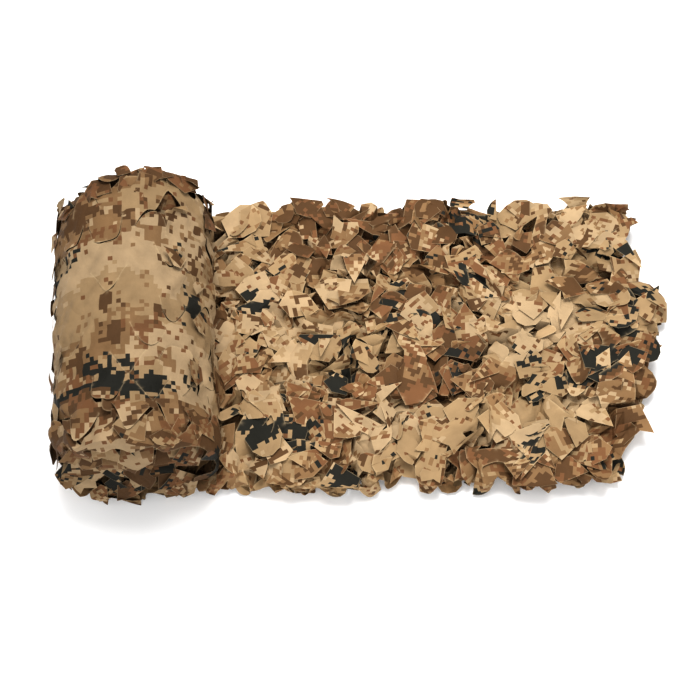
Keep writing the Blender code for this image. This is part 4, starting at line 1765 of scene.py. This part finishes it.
@dataclass(frozen=True)
class EndLeaves:
    """What differs between the free leaves of the roll's two ends."""

    name: str
    seed: int
    way_out: float  # -1 for the near end, 1 for the far one
    thickly: float  # how densely they hang over the end, 0 to 1
    room: float  # how far past the end they may reach
    hang: Pair  # degrees that those round the rim tilt


@dataclass(frozen=True)
class Wrinkles:
    """Shallow wrinkles of the wound cloth, most of which run round the roll."""

    height: float = 0.0028
    wave_scales: Pair = (2.2, 34.0)  # in a radian round the roll and in a metre along it
    patch_scale: float = 18.0  # of the waves that run anywhere, in a metre
    patch_height: float = 0.7  # as a share of the height, as are the next two
    crease_depth: float = 1.3
    sink: float = 0.2  # how far all the cloth is drawn in
    crease_scales: Pair = (2.6, 26.0)  # as for the waves
    crease_patch_scale: float = 24.0


@dataclass(frozen=True)
class CrispFolds:
    """Two sets of crisp folds, slantwise both ways: the first stands out and the second goes in."""

    height: float = 0.0065
    turns: Pair = (0.6, -0.7)  # radians
    shifts: Pair = (3.0, 8.0)  # in the noise
    along_scale: float = 12.0  # folds in a metre
    across_scale: float = 38.0
    least_radius: float = 0.42 * ROLL_WIDTH  # cloth nearer to the roll's axis has none


@dataclass
class WoundCloth:
    """The wound part: one cloth in a spiral, drawn tight along its middle and ruffled at its rims."""

    bed: WoundBed
    edge: float = 0.0125  # mesh size
    crowding: float = 0.88  # size as it lies, over the size it is cut at
    seed: int = 8
    frames: int = 26
    tight: float = 0.025  # growth where it is drawn tight
    slack: float = 0.36  # growth at the rims of its inner turns
    drawn: float = 0.97  # how much smaller than it is cut the drawn cloth's print lies
    outer_slack: float = 0.16  # growth at the rims of its outer turn
    slack_from: float = 0.095  # how far in from its rims it begins to slacken
    slack_over: float = 0.05
    inner_from: float = 1.3  # turns in from which all but its rims is held
    tied: float = 0.85  # share of the joints between leaves that keep their places
    rim_ties: float = 0.06  # only some of those nearer to its rims do, and only in the outer turn
    rim_tied: float = 0.6  # share of them
    held_free: float = 0.3  # how far the cloth drawn tight follows the simulation
    free_from: Pair = (0.13, 0.06)  # from its middle to where it begins to follow it more, and the run
    wrinkles: Wrinkles = Wrinkles()
    folds: CrispFolds = CrispFolds()
    end_back: float = 0.009  # how far in the leaves over the ends are hinged, at mid height
    end_turn: float = 0.004  # how much further in they are on the side of the loose end
    ends: tuple[EndLeaves, ...] = (
        EndLeaves("near_end_leaves", 11, -1.0, 1.0, 0.02, (-16.0, 22.0)),
        EndLeaves("far_end_leaves", 13, 1.0, 0.4, 0.004, (-26.0, 2.0)))
    # seed, and degrees up from +X, of the leaves along each side: first and last angle, and step
    sides: tuple[tuple[int, Triple], ...] = (
        (17, (146.0, 221.0, 12.0)), (19, (2.0, 50.0, 9.0)))
    side_run: Pair = (-0.185, 0.15)  # how far along the roll they reach
    end_density: float = 1500.0  # most leaves in a square metre there
    side_density: float = 700.0

    def build(self, walls: list[Object], material: Material) -> tuple[Object, ...]:
        """Cuts, winds, settles and dresses the cloth.

        Args:
            walls: the objects that it lies on.
            material: its finish.

        Returns:
            The finished sheet, and the free leaves at its ends and sides.
        """
        bed = self.bed
        pattern = FlatPattern(bed.length, 2.0 * bed.half, self.edge, self.crowding, self.seed, turned=0.5,
                              margins=(0.01, 0.01, 0.022, 0.022), bites=(0.0, 0.0, 0.03, 0.03))
        cloth = pattern.cut(bed)
        places = self.wrinkled(cloth.laid_on(bed))
        out = np.abs(cloth.flat[:, 1] - bed.half)
        counts = np.interp(cloth.flat[:, 0], bed.lengths, bed.counts)
        inner = np.flatnonzero((counts > self.inner_from) & (out < bed.half - bed.rim + 0.01))
        ties = [pin for pin in lattice_pins(cloth, pattern, self.tied)
                if out[pin] < bed.half - self.rim_ties
                or (counts[pin] < 1.0 and pattern.draws.random() < self.rim_tied)]
        pins = [int(index) for index in inner] + ties
        LOG.info("wound cloth: %d leaves, %d points, %d ties", len(cloth.cuts), len(cloth.flat), len(pins))
        rim = soft_step(out, bed.half - self.slack_from, self.slack_over)
        rim = rim * np.where(counts < 1.0, self.outer_slack / self.slack, 1.0)
        settling = Settling(frames=self.frames, growth=self.slack, calm_growth=self.tight)
        settled = settling.run(cloth, places, pins, 1.0 - rim, walls)
        free = soft_step(out, *self.free_from)
        free = self.held_free + (1.0 - self.held_free) * free
        places += (settled - places) * free[:, None]
        places = bed.pressed(places, bed.side_room, bed.end_room)
        leaves = [self.end_leaves(end, material) for end in self.ends]
        leaves.append(self.flank_leaves(material))
        sheet = NetPiece("wound_net", self.drawn).dress(cloth, places, material)
        self.fold_crisply(sheet.data)
        return sheet, *leaves

    def end_leaves(self, end: EndLeaves, material: Material) -> Object:
        """Sets free leaves round one rim of the roll and over its end.

        Args:
            end: which end.
            material: their finish.

        Returns:
            The leaves as one object.
        """
        rim = LeafScatter("rim_leaves", self.end_density, 0.02, end.seed, tilts=end.hang, spin=35.0,
                          stray=0.06)
        over = LeafScatter("end_leaves", self.end_density * end.thickly, 0.022, end.seed + 1,
                           sizes=(0.8, 1.5), tilts=(10.0, 62.0), spin=60.0, stray=0.12)
        pairs = ((rim, self.rim_bed(end.way_out)), (over, self.end_bed(end.way_out)))
        leaves = joined(end.name, [scatter.build(bed, material) for scatter, bed in pairs], material)
        settled = self.bed.pressed(coordinates(leaves.data), self.bed.side_room, end.room)
        move(leaves.data, settled)
        return leaves

    def flank_leaves(self, material: Material) -> Object:
        """Sets a few small free leaves along both sides of the roll.

        Args:
            material: their finish.

        Returns:
            The leaves as one object.
        """
        drafts = []
        for seed, degrees in self.sides:
            side = LeafScatter("side_leaves", self.side_density, 0.028, seed, sizes=(0.45, 0.9),
                               tilts=(0.0, 7.0), rise=0.001, stray=0.06)
            drafts.append(side.build(self.flank_bed(np.arange(*degrees)), material))
        leaves = joined("flank_leaves", drafts, material)
        settled = self.bed.pressed(coordinates(leaves.data), 0.5 * self.bed.side_room, self.bed.end_room)
        move(leaves.data, settled)
        return leaves

    def rim_bed(self, way_out: float) -> LeafBed:
        """Lays a smooth surface round one rim of the roll.

        Args:
            way_out: -1 for the near rim, 1 for the far one.

        Returns:
            The bed, on which the tips point out of the roll.
        """
        degrees = np.arange(-90.0, 270.0, 10.0)
        reach = self.bed.reach(degrees, way_out)
        # each row's radius as a share of the roll's, and how far in from the end it lies
        rows = ((self.bed.slim, 0.06), (self.bed.slim, 0.038), (self.bed.slim - 0.015, 0.016))
        laid, flat = np.zeros((len(rows), len(degrees), 3)), np.zeros((len(rows), len(degrees), 2))
        for row, (radius, back) in enumerate(rows):
            for column, turn in enumerate(degrees):
                laid[row, column] = self.bed.point(turn, radius, way_out * (reach[column] - back))
                around = -math.radians(turn) * ROLL_WIDTH / 2.0
                flat[row, column] = (around, self.bed.half + way_out * (reach[column] - back))
        way = np.zeros_like(laid) + (0.0, way_out, 0.0)
        if way_out > 0.0:
            laid, flat = laid[::-1], flat[::-1]
        return LeafBed(laid, flat / self.drawn, way, closed=True)

    def flank_bed(self, degrees: Array) -> LeafBed:
        """Lays a smooth surface along one side of the roll.

        Args:
            degrees: the angles up from +X that it covers.

        Returns:
            The bed, on which the tips point anywhere.
        """
        along = np.linspace(*self.side_run, 12)
        laid, flat = np.zeros((len(along), len(degrees), 3)), np.zeros((len(along), len(degrees), 2))
        for row, y in enumerate(along):
            for column, turn in enumerate(degrees):
                laid[row, column] = self.bed.point(turn, self.bed.slim, y)
                flat[row, column] = (-math.radians(turn) * ROLL_WIDTH / 2.0, self.bed.half + y)
        way = np.zeros_like(laid) + (0.0, 1.0, 0.0)
        return LeafBed(laid[::-1], flat[::-1] / self.drawn, way)

    def end_bed(self, way_out: float) -> LeafBed:
        """Lays a steep surface over one end of the roll.

        Args:
            way_out: -1 for the near end, 1 for the far one.

        Returns:
            The bed, on which the tips hang down.
        """
        # heights and places across, in shares of the end's half height and half width
        levels, across = np.linspace(-0.86, 0.9, 9), np.linspace(-0.92, 0.92, 9)
        laid, flat = np.zeros((len(levels), len(across), 3)), np.zeros((len(levels), len(across), 2))
        for row, level in enumerate(levels):
            for column, aside in enumerate(across):
                x, z = aside * math.sqrt(1.0 - level**2), level
                turn = math.degrees(math.atan2(z, x))
                reach = float(self.bed.reach((turn + 90.0) % 360.0 - 90.0, way_out))
                reach -= self.end_back * (1.0 + level) + self.end_turn * (1.0 + aside)
                laid[row, column] = self.bed.point(turn, self.bed.slim * math.hypot(x, z), way_out * reach)
                flat[row, column] = (aside * ROLL_WIDTH / 2.0, way_out * 0.3 + level * ROLL_HEIGHT / 2.0)
        way = np.zeros_like(laid) + (0.0, 0.0, -1.0)
        if way_out > 0.0:
            laid, flat = laid[::-1], flat[::-1]
        return LeafBed(laid, flat / self.drawn, way)

    def fold_crisply(self, mesh: Mesh) -> None:
        """Folds the finished cloth of the roll's side crisply.

        Args:
            mesh: the cloth.
        """
        folds, places = self.folds, coordinates(mesh)
        for index, (x, y, z) in enumerate(places):
            side, rise = x - self.bed.axis_x, z - ROLL_HEIGHT / 2.0
            away = max(math.hypot(side, rise), 1e-6)
            if away < folds.least_radius:
                continue
            round_it = ROLL_WIDTH / 2.0 * math.atan2(rise, side)
            height = 0.0
            for sign, turn, shift in zip((1.0, -1.0), folds.turns, folds.shifts):
                cos, sin = math.cos(turn), math.sin(turn)
                along, across = round_it * cos + y * sin, y * cos - round_it * sin
                spot = Vector((folds.along_scale * along, folds.across_scale * across, shift))
                height += sign * abs(noise(spot))
            push = folds.height * height / away
            places[index] += (push * side, 0.0, push * rise)
        places[:, 2] = np.maximum(places[:, 2], FLOOR_GAP)
        move(mesh, places)
        mesh.update()

    def wrinkled(self, places: Array) -> Array:
        """Moves the cloth in and out from the roll's axis along shallow wrinkles.

        Args:
            places: (n, 3) places.

        Returns:
            (n, 3) wrinkled places.
        """
        size = self.wrinkles
        middle = np.array([self.bed.axis_x, 0.0, ROLL_HEIGHT / 2.0])

        def across(scales: Pair, shift: float) -> float:
            """Noise at the place, stretched round the roll."""
            return noise(Vector((scales[0] * angle, scales[1] * place[1], shift)))

        wrinkled = places.copy()
        for index, place in enumerate(places):
            way = place - middle
            way[1] = 0.0
            way /= max(np.linalg.norm(way), 1e-6)
            angle = math.atan2(way[2], way[0])
            wave = across(size.wave_scales, 0.0) + size.patch_height * noise(Vector(place) * size.patch_scale)
            crease = abs(noise(Vector(place) * size.crease_patch_scale))
            crease = abs(across(size.crease_scales, 5.0)) + crease
            wrinkled[index] += size.height * (wave - size.crease_depth * crease - size.sink) * way
        return wrinkled


@dataclass
class Walls:
    """What the cloth settles on: the floor, and the roll a little slimmer than its solid."""

    roll_node: Object
    floor_size: float = 2.0
    slimmer: float = 0.004  # how much the roll's surface is drawn in
    weld: float = 1e-5  # points of the solid's mesh nearer to one another than this are one

    def floor(self) -> Object:
        """A plane at the floor."""
        return plane("settling_floor", self.floor_size)

    def roll(self) -> Object:
        """Copies the roll's solid as one closed surface, drawn in a little.

        Returns:
            The copy.
        """
        mesh = self.roll_node.data.copy()
        bm = bmesh.new()
        bm.from_mesh(mesh)
        bmesh.ops.remove_doubles(bm, verts=bm.verts, dist=self.weld)
        bm.normal_update()
        for vert in bm.verts:
            vert.co -= vert.normal * self.slimmer
        bm.to_mesh(mesh)
        bm.free()
        mesh.materials.clear()
        return link("settling_roll", mesh)


# ---------------- the studio
@dataclass(frozen=True)
class Lamp:
    """A square soft light."""

    name: str
    place: Triple
    size: float
    watts: float


@dataclass
class Studio:
    """A pale floor, soft light from above and behind, and the camera."""

    target: Triple = (-0.015, 0.0, 0.0)  # what the camera and the lamps look at
    elevation: float = 65.0  # degrees
    distance: float = 2.2
    lens: float = 73.0  # millimetres, as is the film
    film: float = 36.0
    nearest: float = 0.05  # that the camera sees
    floor_size: float = 6.0
    floor_gap: float = 0.0005  # how far the floor lies below the net's own
    floor_color: Triple = (0.92, 0.92, 0.92)
    floor_roughness: float = 0.9
    sky: float = 0.92
    gamma: float = 0.8
    lamps: tuple[Lamp, ...] = (
        Lamp("key", (0.1, 1.0, 3.0), 1.4, 104.0),
        Lamp("fill", (-0.1, -2.2, 1.5), 2.2, 30.0),
    )

    def floor(self) -> Object:
        """Builds the pale floor.

        Returns:
            The floor.
        """
        material = bpy.data.materials.new("studio_floor")
        material.use_nodes = True
        shader = material.node_tree.nodes["Principled BSDF"]
        shader.inputs["Base Color"].default_value = (*self.floor_color, 1.0)
        shader.inputs["Roughness"].default_value = self.floor_roughness
        floor = plane("studio_floor", self.floor_size)
        floor.data.materials.append(material)
        floor.location.z = -self.floor_gap
        return floor

    def light(self, lamp: Lamp) -> None:
        """Sets up a lamp, aimed at the object.

        Args:
            lamp: which one.
        """
        data = bpy.data.lights.new(lamp.name, "AREA")
        data.size = lamp.size
        data.energy = lamp.watts
        obj = link(lamp.name, data)
        obj.location = lamp.place
        obj.rotation_euler = (Vector(self.target) - Vector(lamp.place)).to_track_quat("-Z", "Y").to_euler()

    def camera(self) -> None:
        """Sets up the camera, above and in front."""
        data = bpy.data.cameras.new("camera")
        data.lens = self.lens
        data.sensor_width = self.film
        data.clip_start = self.nearest
        obj = link("camera", data)
        rise = math.radians(self.elevation)
        back = Vector((0.0, -math.cos(rise), math.sin(rise)))
        obj.location = Vector(self.target) + self.distance * back
        obj.rotation_euler = (-back).to_track_quat("-Z", "Y").to_euler()
        bpy.context.scene.camera = obj

    def build(self) -> Object:
        """Builds the whole studio.

        Returns:
            The floor.
        """
        scene = bpy.context.scene
        scene.view_settings.view_transform = "Standard"
        scene.view_settings.gamma = self.gamma
        scene.world = bpy.data.worlds.new("studio")
        scene.world.use_nodes = True
        sky = scene.world.node_tree.nodes["Background"]
        sky.inputs["Color"].default_value = (1.0, 1.0, 1.0, 1.0)
        sky.inputs["Strength"].default_value = self.sky
        for lamp in self.lamps:
            self.light(lamp)
        self.camera()
        return self.floor()


def main() -> None:
    """Builds the netting on its frame, then the studio."""
    logging.basicConfig(level=logging.INFO, format="%(name)s: %(message)s")
    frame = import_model()
    low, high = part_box("wound_roll")
    axis_x = (low.x + high.x) / 2.0
    printed, woven = print_group(Print()), cloth_group(Weave())
    walls = Walls(frame["nodes"]["wound_roll"])
    floor, roll = walls.floor(), walls.roll()

    laid_finish = NetFinish("laid_print", (15.48, 9.66, 0.0))
    # The roll's copy of the print has tone 0.75: the same cloth painted darker all over, as painted shade.
    wound_finish = NetFinish("wound_print_shaded", (6.05, 18.87, 0.0), crumple=0.0018, tone=0.75)
    laid_cloth, wound_cloth = laid_finish.material(printed, woven), wound_finish.material(printed, woven)
    wound, *end_leaves = WoundCloth(WoundBed(axis_x)).build([floor], wound_cloth)
    loose, loose_leaves = LooseEnd(FoldedBed(axis_x)).build([floor, roll], laid_cloth)
    for wall in (floor, roll):
        bpy.data.objects.remove(wall)

    for piece, leaves, node, slot, flat in (
        (wound, end_leaves, "wound_roll", "wound_cloth", (0.57, 3.4)),
        (loose, [loose_leaves], "laid_net", "leaf_cloth", (1.84, 0.87)),
    ):
        for part in (piece, *leaves):
            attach(part, "root")
            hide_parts(node)
            LOG.info("%s stands for %s: %d faces", part.name, node, len(part.data.polygons))
    Studio().build()


if __name__ == "__main__":
    main()
